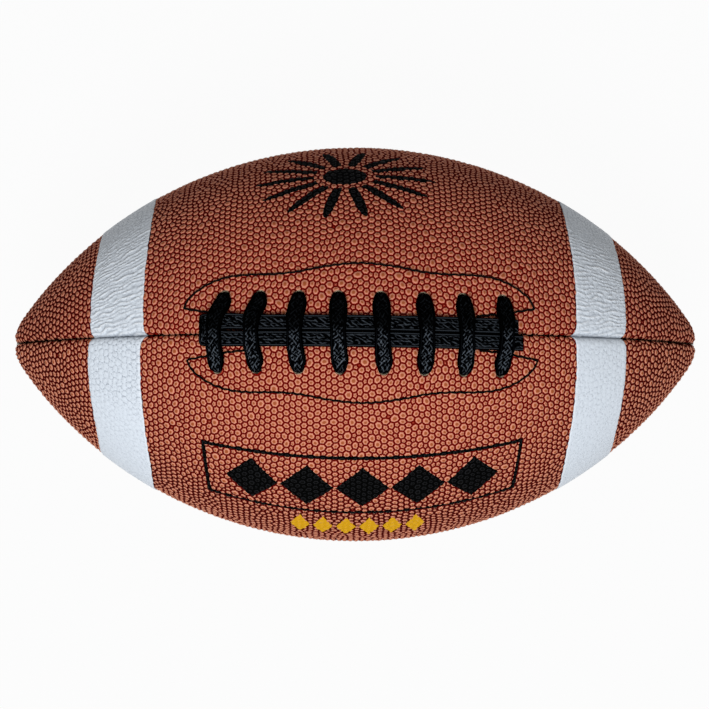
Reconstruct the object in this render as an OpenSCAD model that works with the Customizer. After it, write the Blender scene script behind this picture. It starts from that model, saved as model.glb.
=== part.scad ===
/* [Ball] */
// Length from nose to nose
ball_len = 262; // [248:1:286]
// Diameter across the middle
ball_dia = 151; // [146:1:170]
// Radius of the rounded noses
nose_r = 16.5; // [15:0.5:18]

/* [Cover panels] */
// Thickness of a cover panel
cover_t = 1.8; // [1.5:0.1:2]
// Distance from a seam at which the panel reaches its full height
valley_w = 3.4; // [2.8:0.1:4]
// Depth of the valley at a seam
valley_d = 2.2; // [1.8:0.1:2.4]
// Gap between the sewn edges of two panels
seam_gap = 0.3; // [0.2:0.05:0.4]
// Depth of the sewn flange below the valley
flange_d = 5.2; // [5:0.1:6]
// Depth of the turned hem along the lacing slit
hem_d = 0.5; // [0.3:0.1:0.7]
// Half length of the slit under the lacing
slit_half_len = 66; // [64:1:70]

/* [Stripes] */
// Distance along the ball from a nose to the far edge of a stripe
stripe_in = 33; // [30:1:36]
// Width of a stripe along the ball
stripe_w = 21; // [18:1:23]
// Thickness of the stripe film
stripe_t = 0.3; // [0.2:0.05:0.4]

/* [Lining and facings] */
// Clearance between two layers inside the ball
layer_gap = 0.3; // [0.25:0.01:0.3]
// Clearance between the cover and its lining
lining_gap = 0.5; // [0.4:0.05:0.5]
// Thickness of the fabric lining
lining_t = 0.8; // [0.6:0.1:0.8]
// Distance along the ball from a nose to the end of the lining
lining_in = 19; // [17:1:23]
// Thickness of the reinforcing facings
facing_t = 1; // [0.8:0.1:1]
// Half length of the stitch line round a facing
facing_half_len = 63; // [62:0.5:64]
// Height of the stitch line at its crown, from the seam
facing_rise = 24.9; // [23:0.1:26]
// Width of the facing outside its stitch line
facing_edge = 2; // [1.5:0.1:2.5]

/* [Lace guard] */
// Thickness of the flap between lacing and bladder
guard_t = 0.8; // [0.6:0.1:0.8]
// Length of the flap
guard_len = 122; // [118:1:124]
// Width of the flap
guard_w = 40; // [36:1:44]
// Radius of its corners
guard_corner_r = 12; // [8:1:16]

/* [Lacing] */
// Number of cross stitches
stitch_count = 8; // [6:1:8]
// Place of the middle of the lacing along the ball
lace_middle = 0.1; // [-2:0.1:2]
// Distance between two holes along the seam
lace_pitch = 14.5; // [14:0.1:14.8]
// Distance from the seam to a hole
hole_out = 12.7; // [12:0.1:13.5]
// Diameter of a hole
hole_d = 5.2; // [5:0.1:5.6]
// Width of the lace in a cross stitch
lace_w = 5.9; // [5.2:0.1:6]
// Width of the lace along the seam
strand_w = 5.2; // [4.8:0.1:5.2]
// Distance from the seam to the middle of a strand
strand_out = 2.8; // [2.8:0.05:3]
// Width of the lace where it is drawn into a hole
drawn_w = 4; // [3.6:0.1:4.2]
// Thickness of the lace
lace_t = 1.7; // [1.5:0.1:1.8]
// Thickness of the lace where it is pressed flat inside
pressed_t = 1.4; // [1.2:0.1:1.4]
// Thickness of the lace where it is drawn into a hole
drawn_t = 2.6; // [2.2:0.1:2.8]
// Clearance between the lace and what it lies on
lace_gap = 0.15; // [0.15:0.01:0.2]
// How far the outermost stitches bow outward at the seam
lace_bow = 1; // [0:0.1:2]
// How far the cut end of the front strand lies past the last hole
strand_past = 7.9; // [7.7:0.1:9]
// How far past the last hole the back strand goes in
entry_past = 6.3; // [6.1:0.05:7]
// How far the turn between the strands starts past the first hole
turn_past = 2.9; // [2.7:0.05:3.6]
// Bend radius where the lace goes over the edge of a hole
lace_bend_r = 1.9; // [1.8:0.1:2]

/* [Threads] */
// Diameter of the thread round a facing
facing_thread_d = 0.5; // [0.4:0.05:0.6]
// Diameter of the thread in a seam
seam_thread_d = 0.8; // [0.6:0.1:0.8]
// Length of a stitch in a seam
seam_stitch = 10; // [9:0.5:12]
// Distance along the ball from a nose to the end of a seam's thread
seam_thread_in = 17.5; // [16:0.5:22]
// Distance from the end of the slit to the thread of the top seam
top_thread_past = 7; // [5:0.5:9]

/* [Bladder] */
// Thickness of the bladder
bladder_t = 1; // [0.8:0.1:1.2]

/* [Valve] */
// Diameter of the valve housing
housing_d = 8.6; // [8:0.1:9]
// Diameter of the valve core
core_d = 4.8; // [4.4:0.1:5]
// Diameter of the needle hole
needle_hole_d = 2.2; // [2.1:0.05:2.4]
// Diameter of the countersunk mouth of the core
mouth_d = 3.6; // [3.2:0.1:3.8]
// Depth of the countersunk mouth
mouth_h = 0.8; // [0.6:0.1:1]
// Clearance round the housing and the core
valve_gap = 0.15; // [0.1:0.01:0.2]
// Depth of the housing's rim below the surface of the cover
rim_drop = 0.3; // [0.2:0.1:0.5]
// Depth of the core below the housing's rim
core_drop = 0.9; // [0.7:0.1:1.2]
// Thickness of the housing's floor
floor_t = 1; // [0.8:0.1:1.2]
// Length of the housing inside the bladder
housing_in = 3; // [2:0.5:4]
// Diameter of the patch that joins the housing to the bladder
patch_d = 26; // [22:1:30]
// Thickness of the patch
patch_t = 1; // [0.8:0.1:1.2]

/* [Hidden] */
// One overrun for every cut
cut = 1;
// Step over which a direction on the surface is measured
probe_step = 0.5;
half_len = ball_len / 2;
half_dia = ball_dia / 2;
// The side is one arc, and each nose an arc that meets it smoothly
nose_x = half_len - nose_r;
side_r = (nose_x ^ 2 + half_dia ^ 2 - nose_r ^ 2) / (2 * (half_dia - nose_r));
side_drop = side_r - half_dia;
meet_tilt = atan2(nose_x, side_drop);
stripe_to = half_len - stripe_in;
stripe_from = stripe_to - stripe_w;
stripe_from_tilt = asin(stripe_from / side_r);
stripe_to_tilt = asin(stripe_to / side_r);
last_tilt_share = 0.97;
last_tilt = 90 * last_tilt_share;

// Steps along half a panel: to the stripe, across it, to the nose arc and round that arc
side_steps = 5;
stripe_steps = 2;
shoulder_steps = 3;
nose_steps = 5;
// Steps from the valley to the middle of a panel
panel_steps = 5;
// Steps of a revolved layer from the middle to its nose arc
layer_steps = 15;
valley_shares = [0.12, 0.42, 1];
// The valley takes no more than this of the way to a panel's middle
valley_most_share = 0.6;
// The flange fades out towards the noses
flange_from_r = 8;
flange_full_r = 16;
flange_least_d = 0.3;
flange_least_share = 0.4;

// Depths of the layers under the surface
lining_half_len = half_len - lining_in;
lining_top = cover_t + lining_gap;
lining_bottom = lining_top + lining_t;
facing_top = lining_bottom + layer_gap;
facing_bottom = facing_top + facing_t;
run_top = facing_bottom + layer_gap;
run_middle = run_top + pressed_t / 2;
guard_top = run_top + pressed_t + layer_gap;
guard_bottom = guard_top + guard_t;
bladder_top = max(guard_bottom, valley_d + flange_d) + layer_gap;
bladder_bottom = bladder_top + bladder_t;
layer_side_gap = seam_gap / 2 + cover_t + layer_gap;

// Lacing
strand_rise = lace_gap + lace_t / 2;
stitch_rise = strand_rise + lace_t + lace_gap;
lace_reach = lace_pitch * (stitch_count - 1) / 2;
first_hole = lace_middle - lace_reach;
last_hole = lace_middle + lace_reach;
strand_end = last_hole + strand_past;
entry_end = last_hole + entry_past;
turn_at = first_hole - turn_past;
strand_steps = 12;
turn_steps = 6;
bend_steps = 3;
low_bend_steps = 2;
run_steps = 3;
lace_side_shares = [
    [0.5, -0.2],
    [0.36, -0.5],
    [-0.36, -0.5],
    [-0.5, -0.2],
    [-0.5, 0.2],
    [-0.36, 0.5],
    [0.36, 0.5],
    [0.5, 0.2]
];
// Shares of the way from a hole to the seam, of the climb onto the strands and of the bow
stitch_climb_shares = [[0.3, 0.34, 0.55], [0.5, 0.95, 0.8], [0.75, 1, 0.95]];
// Share by which the lace widens again in the turn between the strands
turn_w_share = 0.6;
entry_out = strand_out - (strand_w - drawn_w) / 2;
entry_turn_r = 4;
tail_len = 9;

// Stitch line of a facing, from its inner end to its crown, as shares of its half length and rise
line_end_shares = [[0.66, 0.245], [0.78, 0.275], [0.9, 0.325]];
line_crown_shares = [
    [1, 0.37],
    [0.965, 0.53],
    [0.87, 0.705],
    [0.755, 0.81],
    [0.63, 0.842],
    [0.5, 0.845],
    [0.36, 0.875],
    [0.19, 0.955],
    [0, 1]
];
line_smooth_steps = 2;
thread_lift = lace_gap + facing_thread_d / 2;
thread_sides = 5;
// A thread's corner is mitred to no more than this share allows
mitre_least_share = 0.5;
seam_thread_depth_share = 0.9;
seam_thread_depth = valley_d + (facing_bottom - valley_d) * seam_thread_depth_share;
seam_thread_tilt = asin((half_len - seam_thread_in) / (side_r - seam_thread_depth));
seam_thread_out = seam_gap / 2 + cover_t + seam_thread_d / 2;
top_thread_from = slit_half_len + top_thread_past;

// Valve, in the middle of the back base panel
valve_turn = 135;
housing_len = bladder_bottom + housing_in - rim_drop;
core_len = housing_len - floor_t - core_drop - valve_gap;
round_fn = 48;

// Profile of the ball. tilt is the angle of the surface's normal from the plane across the middle,
// and rise is the height above the surface. The result is the place along the ball and the radius.
function profile(tilt, rise = 0) =
    abs(tilt) <= meet_tilt
        ? [(side_r + rise) * sin(tilt), (side_r + rise) * cos(tilt) - side_drop]
        : [sign(tilt) * nose_x + (nose_r + rise) * sin(tilt), (nose_r + rise) * cos(tilt)];

// A point of the ball at an angle about its long axis, counted from the lacing
function on_ball(tilt, turn, rise) =
    let (p = profile(tilt, rise))
    [p.x, p.y * sin(turn), p.y * cos(turn)];

// A point at a fixed distance from the plane of the top seam
function by_seam(tilt, off, rise) =
    let (p = profile(tilt, rise))
    [p.x, off, sqrt(p.y ^ 2 - off ^ 2)];

// A point on the side by its distances along the seam and across it
function on_side(along, across, rise) =
    let (tilt = along / side_r * 180 / PI, r = profile(tilt).y)
    on_ball(tilt, across / r * 180 / PI, rise);

function swapped(p) = [p.x, p.z, p.y];
function backwards(list) = [for (i = [len(list) - 1:-1:0]) list[i]];
function without_last(list) = [for (i = [0:1:len(list) - 2]) list[i]];
function unit(v) = v / norm(v);
function held(x, low, high) = min(max(x, low), high);

// Depth of the rounded valley at a distance from the seam
function valley(off) =
    off >= valley_w ? 0 : valley_d * (1 - sqrt(1 - (1 - off / valley_w) ^ 2));

// Triangles between rings of equal count, one after another. From point other_from of a ring on,
// the quads are split along their other diagonal.
function ring_faces(rings, count, other_from = undef) = [
    for (i = [0:1:rings - 2], j = [0:1:count - 1], half = [0, 1])
        let (
            a = i * count + j,
            b = i * count + (j + 1) % count,
            c = b + count,
            d = a + count
        )
        is_undef(other_from) || j < other_from
            ? (half == 0 ? [a, b, c] : [a, c, d])
            : (half == 0 ? [a, b, d] : [b, c, d])
];

function fan(first, count) = [for (j = [1:1:count - 2]) [first, first + j, first + j + 1]];
function turned_over(faces) = [for (f = faces) backwards(f)];
function flat_list(lists) = [for (list = lists, item = list) item];

// A tube through rings that run anticlockwise as seen along it, with flat ends
module tube(rings) {
    count = len(rings[0]);
    polyhedron(
        points = flat_list(rings),
        faces = concat(
            ring_faces(len(rings), count),
            turned_over(fan(0, count)),
            fan((len(rings) - 1) * count, count)
        )
    );
}

// Tilts of the rings from the middle to one nose, and of the whole panel. The middle has no ring,
// so the ball lies level on the facets there.
function half_tilts() = concat(
    [for (i = [1:1:side_steps]) stripe_from_tilt * (2 * i - 1) / (2 * side_steps - 1)],
    [for (i = [1:1:stripe_steps])
        stripe_from_tilt + (stripe_to_tilt - stripe_from_tilt) * i / stripe_steps],
    [for (i = [1:1:shoulder_steps])
        stripe_to_tilt + (meet_tilt - stripe_to_tilt) * i / shoulder_steps],
    [for (i = [1:1:nose_steps]) meet_tilt + (last_tilt - meet_tilt) * i / nose_steps]
);
panel_tilts = concat(-backwards(half_tilts()), half_tilts());

// Distances from the seam to the middle of a panel, with more of them in the valley
function offsets(tilt) =
    let (
        half_way = profile(tilt).y * PI / 4,
        start = seam_gap / 2,
        valley_end = min(valley_w, half_way * valley_most_share)
    )
    concat(
        [start],
        [for (share = valley_shares) start + (valley_end - start) * share],
        [for (i = [1:1:panel_steps])
            valley_end + (half_way - valley_end) * i / panel_steps]
    );

// Half of a panel's outer skin, from the seam to the middle
function outer_half(tilt, rise = 0) =
    let (all = offsets(tilt), r = profile(tilt).y)
    [for (i = [0:1:len(all) - 1])
        i == 0
            ? by_seam(tilt, all[0], rise - valley(all[0]))
            : on_ball(tilt, all[i] / r * 180 / PI, rise - valley(all[i]))];

function flange_side(tilt) =
    seam_gap / 2 + min(cover_t, profile(tilt).y * PI / 4 * flange_least_share);

// Half of its inner skin, from the root of the flange to the middle
function inner_half(tilt) =
    let (
        r = profile(tilt, -cover_t).y,
        root = asin(flange_side(tilt) / r)
    )
    [for (i = [0:1:panel_steps]) on_ball(tilt, root + (45 - root) * i / panel_steps, -cover_t)];

// The two lower corners of a flange: at the seam first, then at its inner face
function flange_tip(tilt, slit) =
    let (
        p = profile(tilt),
        fade = held((p.y - flange_from_r) / (flange_full_r - flange_from_r), 0, 1),
        in_slit = slit && abs(p.x) < slit_half_len,
        deep = in_slit ? hem_d : flange_least_d + (flange_d - flange_least_d) * fade,
        rise = -valley_d - deep
    )
    [by_seam(tilt, seam_gap / 2, rise), by_seam(tilt, flange_side(tilt), rise)];

function mirrored_chain(half) =
    concat(half, backwards([for (p = without_last(half)) swapped(p)]));

// Section of a panel between the top seam and the seam of one side
function panel_ring(tilt, slit) =
    let (
        top_tip = flange_tip(tilt, slit),
        side_tip = flange_tip(tilt, false)
    )
    concat(
        mirrored_chain(outer_half(tilt)),
        [swapped(side_tip[0]), swapped(side_tip[1])],
        backwards(mirrored_chain(inner_half(tilt))),
        [top_tip[1], top_tip[0]]
    );

outer_count = 2 * (len(valley_shares) + panel_steps) + 1;
inner_count = 2 * panel_steps + 1;
ring_count = outer_count + inner_count + 4;

// End of a panel: a strip from the outer skin to the inner one, with the flanges
function panel_end(first) =
    let (
        bends = len(valley_shares),
        side_root = first + outer_count + 2,
        top_root = side_root + inner_count - 1,
        last_outer = first + outer_count - 1
    )
    concat(
        [for (i = [0:1:bends - 1]) [first + i, first + i + 1, top_root]],
        [for (i = [0:1:2 * panel_steps - 1], half = [0, 1])
            let (a = first + bends + i, b = top_root - i)
            half == 0 ? [a, a + 1, b - 1] : [a, b - 1, b]],
        [for (i = [0:1:bends - 1]) [last_outer - i - 1, last_outer - i, side_root]],
        [[last_outer, last_outer + 1, last_outer + 2], [last_outer, last_outer + 2, side_root]],
        [[first, top_root, top_root + 1], [first, top_root + 1, top_root + 2]]
    );

module panel(slit = false) {
    rings = [for (tilt = panel_tilts) panel_ring(tilt, slit)];
    polyhedron(
        points = flat_list(rings),
        faces = concat(
            ring_faces(len(rings), ring_count),
            turned_over(panel_end(0)),
            panel_end((len(rings) - 1) * ring_count)
        )
    );
}

// Film over one panel between two rings of it, with the panel's own facets on its underside
module stripe(left) {
    from = left ? -stripe_to_tilt : stripe_from_tilt;
    tilts = [for (i = [0:1:stripe_steps])
        from + (stripe_to_tilt - stripe_from_tilt) * i / stripe_steps];
    rings = [for (tilt = tilts)
        concat(
            mirrored_chain(outer_half(tilt, stripe_t)),
            backwards(mirrored_chain(outer_half(tilt)))
        )];
    top = outer_count;
    strip = [for (i = [0:1:top - 2], half = [0, 1])
        half == 0 ? [i, i + 1, 2 * top - 2 - i] : [i, 2 * top - 2 - i, 2 * top - 1 - i]];
    polyhedron(
        points = flat_list(rings),
        faces = concat(
            ring_faces(len(rings), 2 * top, top),
            turned_over(strip),
            [for (f = strip) [for (k = f) k + (len(rings) - 1) * 2 * top]]
        )
    );
}

// Solid of revolution between two depths under the surface
module layer(top, bottom) {
    tilts = concat(
        [for (i = [0:1:nose_steps]) -90 + (90 - meet_tilt) * i / nose_steps],
        [for (i = [1:1:2 * layer_steps - 1]) meet_tilt * (i / layer_steps - 1)],
        [for (i = [0:1:nose_steps]) meet_tilt + (90 - meet_tilt) * i / nose_steps]
    );
    outline = concat(
        [for (t = tilts) let (p = profile(t, -top)) [max(p.y, 0), p.x]],
        [for (t = backwards(tilts)) let (p = profile(t, -bottom)) [max(p.y, 0), p.x]]
    );
    rotate([0, 90, 0])
        rotate_extrude($fn = 2 * round_fn)
            polygon(outline);
}

// Drawn in the back top quarter, for the other quarters by mirrors
module quarter(front, base) {
    mirror([0, front ? 1 : 0, 0])
        mirror([0, 0, base ? 1 : 0])
            children();
}

// A place on the side's surface, with Z along its normal
module at_side(along, across) {
    tilt = along / side_r * 180 / PI;
    p = profile(tilt);
    rotate([-across / p.y * 180 / PI, 0, 0])
        translate([p.x, 0, p.y])
            rotate([0, tilt, 0])
                children();
}

function hole_along(k) = first_hole + lace_pitch * k;

module lace_holes(bottom) {
    for (k = [0:1:stitch_count - 1]) {
        at_side(hole_along(k), hole_out)
            translate([0, 0, -bottom - cut])
                cylinder(d = hole_d, h = bottom + 2 * cut, $fn = round_fn);
    }
}

module lace_entry(bottom) {
    at_side(entry_end, entry_out)
        translate([0, 0, -bottom - cut])
            cylinder(d = hole_d, h = bottom + 2 * cut, $fn = round_fn);
}

module at_valve(rise) {
    rotate([-valve_turn, 0, 0])
        translate([0, 0, half_dia + rise])
            children();
}

module valve_hole(top, bottom) {
    at_valve(-bottom - cut)
        cylinder(d = housing_d + 2 * valve_gap, h = bottom - top + 2 * cut, $fn = round_fn);
}

module cover_lace(front) {
    color("#b8663f")
        difference() {
            quarter(front, false) panel(slit = true);
            quarter(front, false) lace_holes(cover_t);
            if (!front) lace_entry(valley_d + hem_d);
        }
}

module cover_base(front) {
    color("#b8663f")
        difference() {
            quarter(front, true) panel();
            if (!front) valve_hole(0, cover_t);
        }
}

module lining(front, base) {
    color("#d9cdb4")
        difference() {
            intersection() {
                layer(lining_top, lining_bottom);
                quarter(front, base)
                    translate([-lining_half_len, layer_side_gap, layer_side_gap])
                        cube([2 * lining_half_len, half_dia, half_dia]);
            }
            if (!base) quarter(front, false) lace_holes(lining_bottom);
            if (!base && !front) lace_entry(lining_bottom);
            if (base && !front) valve_hole(lining_top, lining_bottom);
        }
}

module stripe_on(front, left) {
    color("#eef2f6")
        quarter(front, false) stripe(left);
}

// Smooth curve through points, by cubic segments
function smooth(points, steps) = [
    for (i = [0:1:len(points) - 2], k = [0:1:steps - 1])
        let (
            t = k / steps,
            a = points[max(i - 1, 0)],
            b = points[i],
            c = points[i + 1],
            d = points[min(i + 2, len(points) - 1)]
        )
        b + (c - a) / 2 * t
            + (a - 2.5 * b + 2 * c - d / 2) * t ^ 2
            + (1.5 * b - a / 2 - 1.5 * c + d / 2) * t ^ 3
];

// Stitch line of a facing in plan: its crown from one corner to the other, and its two inner ends
function scaled(points, half, rise) = [for (p = points) [p.x * half, p.y * rise]];
function reflected(points) = [for (p = points) [-p.x, p.y]];
function line_crown(half, rise) =
    let (right = scaled(line_crown_shares, half, rise))
    concat(
        smooth(concat(right, backwards(reflected(without_last(right)))), line_smooth_steps),
        [[-right[0].x, right[0].y]]
    );
function stitch_line() =
    let (end = scaled(line_end_shares, facing_half_len, facing_rise))
    concat(end, line_crown(facing_half_len, facing_rise), backwards(reflected(end)));

module facing(front) {
    half = facing_half_len + facing_edge;
    crown = line_crown(half, facing_rise + facing_edge);
    color("#c8b48c")
        quarter(front, false)
            difference() {
                intersection() {
                    layer(facing_top, facing_bottom);
                    linear_extrude(ball_dia)
                        polygon(concat(crown, [[-half, layer_side_gap], [half, layer_side_gap]]));
                }
                lace_holes(facing_bottom);
                if (!front) lace_entry(facing_bottom);
            }
}

module lace_guard() {
    color("#8f8a80")
        intersection() {
            layer(guard_top, guard_bottom);
            linear_extrude(ball_dia)
                translate([lace_middle, 0]) {
                    square([guard_len - 2 * guard_corner_r, guard_w], center = true);
                    square([guard_len, guard_w - 2 * guard_corner_r], center = true);
                    for (x = [-1, 1], y = [-1, 1]) {
                        translate([
                            x * (guard_len / 2 - guard_corner_r),
                            y * (guard_w / 2 - guard_corner_r)
                        ])
                            circle(r = guard_corner_r, $fn = round_fn);
                    }
                }
        }
}

// The lace's route has points of along, across, rise, the turn of its width, width and thickness.
// A turn of 0 has the width along the seam, and one of 90 across it.

// How far a cross stitch at a place along the ball bows outward at the seam
function bow(along) = lace_bow * (along - lace_middle) / lace_reach;

// Half a cross stitch from the run inside to the seam, on the side where across is positive
function half_stitch(k) =
    let (
        along = hole_along(k),
        low_bend = [for (i = [low_bend_steps:-1:0])
            let (a = 90 * i / low_bend_steps)
            [hole_out - lace_bend_r + lace_bend_r * cos(a),
             lace_bend_r - run_middle - lace_bend_r * sin(a)]],
        high_bend = [for (i = [0:1:bend_steps])
            let (a = 90 * i / bend_steps)
            [hole_out - lace_bend_r + lace_bend_r * cos(a),
             strand_rise - lace_bend_r + lace_bend_r * sin(a)]]
    )
    concat(
        [for (i = [0:1:low_bend_steps])
            let (share = i / low_bend_steps)
            [along, low_bend[i].x, low_bend[i].y, 0,
             lace_w + (drawn_w - lace_w) * share,
             pressed_t + (drawn_t - pressed_t) * share]],
        [for (i = [0:1:bend_steps])
            let (share = i / bend_steps)
            [along, high_bend[i].x, high_bend[i].y, 0,
             drawn_w + (lace_w - drawn_w) * share,
             drawn_t + (lace_t - drawn_t) * share]],
        [for (s = stitch_climb_shares)
            [along + bow(along) * s[2],
             (hole_out - lace_bend_r) * (1 - s[0]),
             strand_rise + (stitch_rise - strand_rise) * s[1],
             0, lace_w, lace_t]]
    );

function other_side(points) = [for (p = points) [p[0], -p[1], p[2], p[3], p[4], p[5]]];

// A whole cross stitch from its front hole to its back hole
function cross_stitch(k) =
    let (half = half_stitch(k))
    concat(
        other_side(half),
        [[hole_along(k) + bow(hole_along(k)), 0, stitch_rise, 0, lace_w, lace_t]],
        backwards(half)
    );

// The run inside from the back hole of a stitch to the front hole of the next
function inner_run(k) = [
    for (i = [1:1:run_steps - 1])
        let (share = i / run_steps)
        [hole_along(k) - lace_pitch * share,
         (hole_out - lace_bend_r) * (1 - 2 * share),
         -run_middle, 0, lace_w, pressed_t]
];

// The front strand, the turn at the left end and the back strand
function strands() =
    concat(
        [for (i = [0:1:strand_steps])
            [strand_end + (turn_at - strand_end) * i / strand_steps,
             -strand_out, strand_rise, 90, strand_w, lace_t]],
        [for (i = [1:1:turn_steps - 1])
            let (a = 180 * i / turn_steps)
            [turn_at - strand_out * sin(a), -strand_out * cos(a), strand_rise,
             90 - a, drawn_w + (strand_w - drawn_w) * turn_w_share, lace_t]],
        [for (i = [0:1:strand_steps])
            [turn_at + (entry_end - lace_bend_r - lace_t - turn_at) * i / strand_steps,
             strand_out, strand_rise, -90, strand_w, lace_t]]
    );

// The back strand goes in at its right end and runs inside to the first front hole
function entry() =
    let (
        down = [for (i = [1:1:bend_steps])
            let (a = 90 * i / bend_steps)
            [entry_end - lace_bend_r + lace_bend_r * sin(a),
             strand_rise - lace_bend_r + lace_bend_r * cos(a)]],
        under = [for (i = [0:1:bend_steps])
            let (a = 90 * i / bend_steps)
            [entry_end - lace_bend_r + lace_bend_r * cos(a),
             lace_bend_r - run_middle - lace_bend_r * sin(a)]],
        turn_x = entry_end - lace_bend_r - lace_t / 2
    )
    concat(
        [for (i = [0:1:bend_steps - 1])
            [down[i].x, entry_out, down[i].y, -90, drawn_w, lace_t]],
        [for (p = under) [p.x, entry_out, p.y, -90, drawn_w, pressed_t]],
        [for (i = [1:1:bend_steps])
            let (a = 90 * i / bend_steps)
            [turn_x - entry_turn_r * sin(a), entry_out - entry_turn_r * (1 - cos(a)),
             -run_middle, a - 90, drawn_w, pressed_t]]
    );

// The whole route: strands, entry, then the cross stitches from right to left, and the tail
lace_route = concat(
    strands(),
    entry(),
    [for (k = [stitch_count - 1:-1:0], p = concat(cross_stitch(k), k > 0 ? inner_run(k) : [])) p],
    [[first_hole, hole_out - lace_bend_r - tail_len, -run_middle, 0, lace_w, pressed_t]]
);
lace_places = [for (p = lace_route) on_side(p[0], p[1], p[2])];

// Width of the lace at a point of its route, as a direction
function width_way(p) =
    let (here = on_side(p[0], p[1], p[2]))
    unit(
        (on_side(p[0] + probe_step, p[1], p[2]) - here) * cos(p[3])
            + (on_side(p[0], p[1] + probe_step, p[2]) - here) * sin(p[3])
    );

function lace_ring(i) =
    let (
        last = len(lace_route) - 1,
        p = lace_route[i],
        into = unit(lace_places[max(i, 1)] - lace_places[max(i, 1) - 1]),
        out = unit(lace_places[min(i, last - 1) + 1] - lace_places[min(i, last - 1)]),
        way = unit(into + out),
        wide = width_way(p),
        thick = unit(cross(way, wide)),
        side = cross(thick, way)
    )
    [for (s = lace_side_shares)
        lace_places[i] + side * s.x * p[4] + thick * s.y * p[5]];

module lace() {
    color("#1d1f24")
        tube([for (i = [0:1:len(lace_route) - 1]) lace_ring(i)]);
}

// Rings of a round thread along a route, mitred at its corners. up is a direction across the route.
function thread_rings(route, ups, d) =
    [for (i = [0:1:len(route) - 1])
        let (
            last = len(route) - 1,
            into = unit(route[max(i, 1)] - route[max(i, 1) - 1]),
            out = unit(route[min(i, last - 1) + 1] - route[min(i, last - 1)]),
            way = unit(into + out),
            stretch = 1 / max(way * into, mitre_least_share),
            side = unit(cross(way, ups[i])),
            up = cross(side, way)
        )
        [for (j = [0:1:thread_sides - 1])
            let (a = 360 * (j + 0.5) / thread_sides)
            route[i] + d / 2 * (side * cos(a) * stretch + up * sin(a))]];

module facing_thread(front) {
    line = stitch_line();
    places = [for (p = line)
        let (tilt = asin(p.x / side_r), r = profile(tilt).y)
        on_ball(tilt, asin(p.y / r), thread_lift)];
    color("#141414")
        quarter(front, false)
            tube(thread_rings(places, [for (p = places) unit([0, p.y, p.z])], facing_thread_d));
}

// Running stitch through both flanges of the top seam, from one tilt to another
module seam_thread(from_tilt, to_tilt) {
    count = floor((to_tilt - from_tilt) / 180 * PI * side_r / seam_stitch);
    step = (to_tilt - from_tilt) / count;
    route = [for (i = [0:1:count], k = [0, 1])
        let (
            tilt = from_tilt + step * i,
            side = (i + k) % 2 == 0 ? 1 : -1,
            p = profile(tilt, -seam_thread_depth)
        )
        [p.x, side * seam_thread_out, p.y]];
    color("#e6dcc4")
        tube(thread_rings(route, [for (p = route) [0, 0, 1]], seam_thread_d));
}

module long_seam_thread(turn) {
    rotate([turn, 0, 0])
        seam_thread(-seam_thread_tilt, seam_thread_tilt);
}

// The top seam is sewn only past the lacing
module top_seam_thread(left) {
    near = asin(top_thread_from / side_r);
    if (left) seam_thread(-seam_thread_tilt, -near);
    else seam_thread(near, seam_thread_tilt);
}

module bladder() {
    color("#2c2c2e")
        difference() {
            layer(bladder_top, bladder_bottom);
            valve_hole(bladder_top, bladder_bottom);
        }
}

module valve_patch() {
    color("#3a3a3d")
        difference() {
            intersection() {
                layer(bladder_top - layer_gap - patch_t, bladder_top - layer_gap);
                at_valve(-bladder_bottom)
                    cylinder(d = patch_d, h = bladder_bottom, $fn = round_fn);
            }
            valve_hole(bladder_top - layer_gap - patch_t, bladder_top);
        }
}

module valve_housing() {
    color("#242426")
        at_valve(-rim_drop - housing_len)
            rotate_extrude($fn = round_fn)
                polygon([
                    [mouth_d / 2, 0],
                    [housing_d / 2, 0],
                    [housing_d / 2, housing_len],
                    [core_d / 2 + valve_gap, housing_len],
                    [core_d / 2 + valve_gap, floor_t],
                    [mouth_d / 2, floor_t]
                ]);
}

module valve_core() {
    color("#4a4a4e")
        at_valve(-rim_drop - core_drop - core_len)
            rotate_extrude($fn = round_fn)
                polygon([
                    [needle_hole_d / 2, 0],
                    [core_d / 2, 0],
                    [core_d / 2, core_len],
                    [mouth_d / 2, core_len],
                    [needle_hole_d / 2, core_len - mouth_h]
                ]);
}

cover_lace(true);  // cover_lace_front
cover_lace(false);  // cover_lace_back
cover_base(true);  // cover_base_front
cover_base(false);  // cover_base_back
lining(true, false);  // lining_lace_front
lining(false, false);  // lining_lace_back
lining(true, true);  // lining_base_front
lining(false, true);  // lining_base_back
stripe_on(true, true);  // stripe_left_front
stripe_on(false, true);  // stripe_left_back
stripe_on(true, false);  // stripe_right_front
stripe_on(false, false);  // stripe_right_back
lace();
facing(true);  // facing_front
facing(false);  // facing_back
facing_thread(true);  // facing_thread_front
facing_thread(false);  // facing_thread_back
lace_guard();
long_seam_thread(90);  // seam_thread_front
long_seam_thread(-90);  // seam_thread_back
long_seam_thread(180);  // seam_thread_base
top_seam_thread(true);  // seam_thread_top_left
top_seam_thread(false);  // seam_thread_top_right
bladder();
valve_housing();
valve_core();
valve_patch();
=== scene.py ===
"""Looks of a junior american football around its packed construction frame.

Sizes are millimetres unless a name says otherwise, and become metres where a mesh is made. The ball lies along X
with its lacing up, along +Z. On a panel's map the first number is a place along the ball and the second a turn.
"""

import logging
import math
from collections.abc import Callable
from dataclasses import dataclass
from enum import Enum

import bpy
import numpy as np
from mathutils import Matrix, Vector, noise
from mathutils.geometry import delaunay_2d_cdt
from mathutils.kdtree import KDTree


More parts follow.
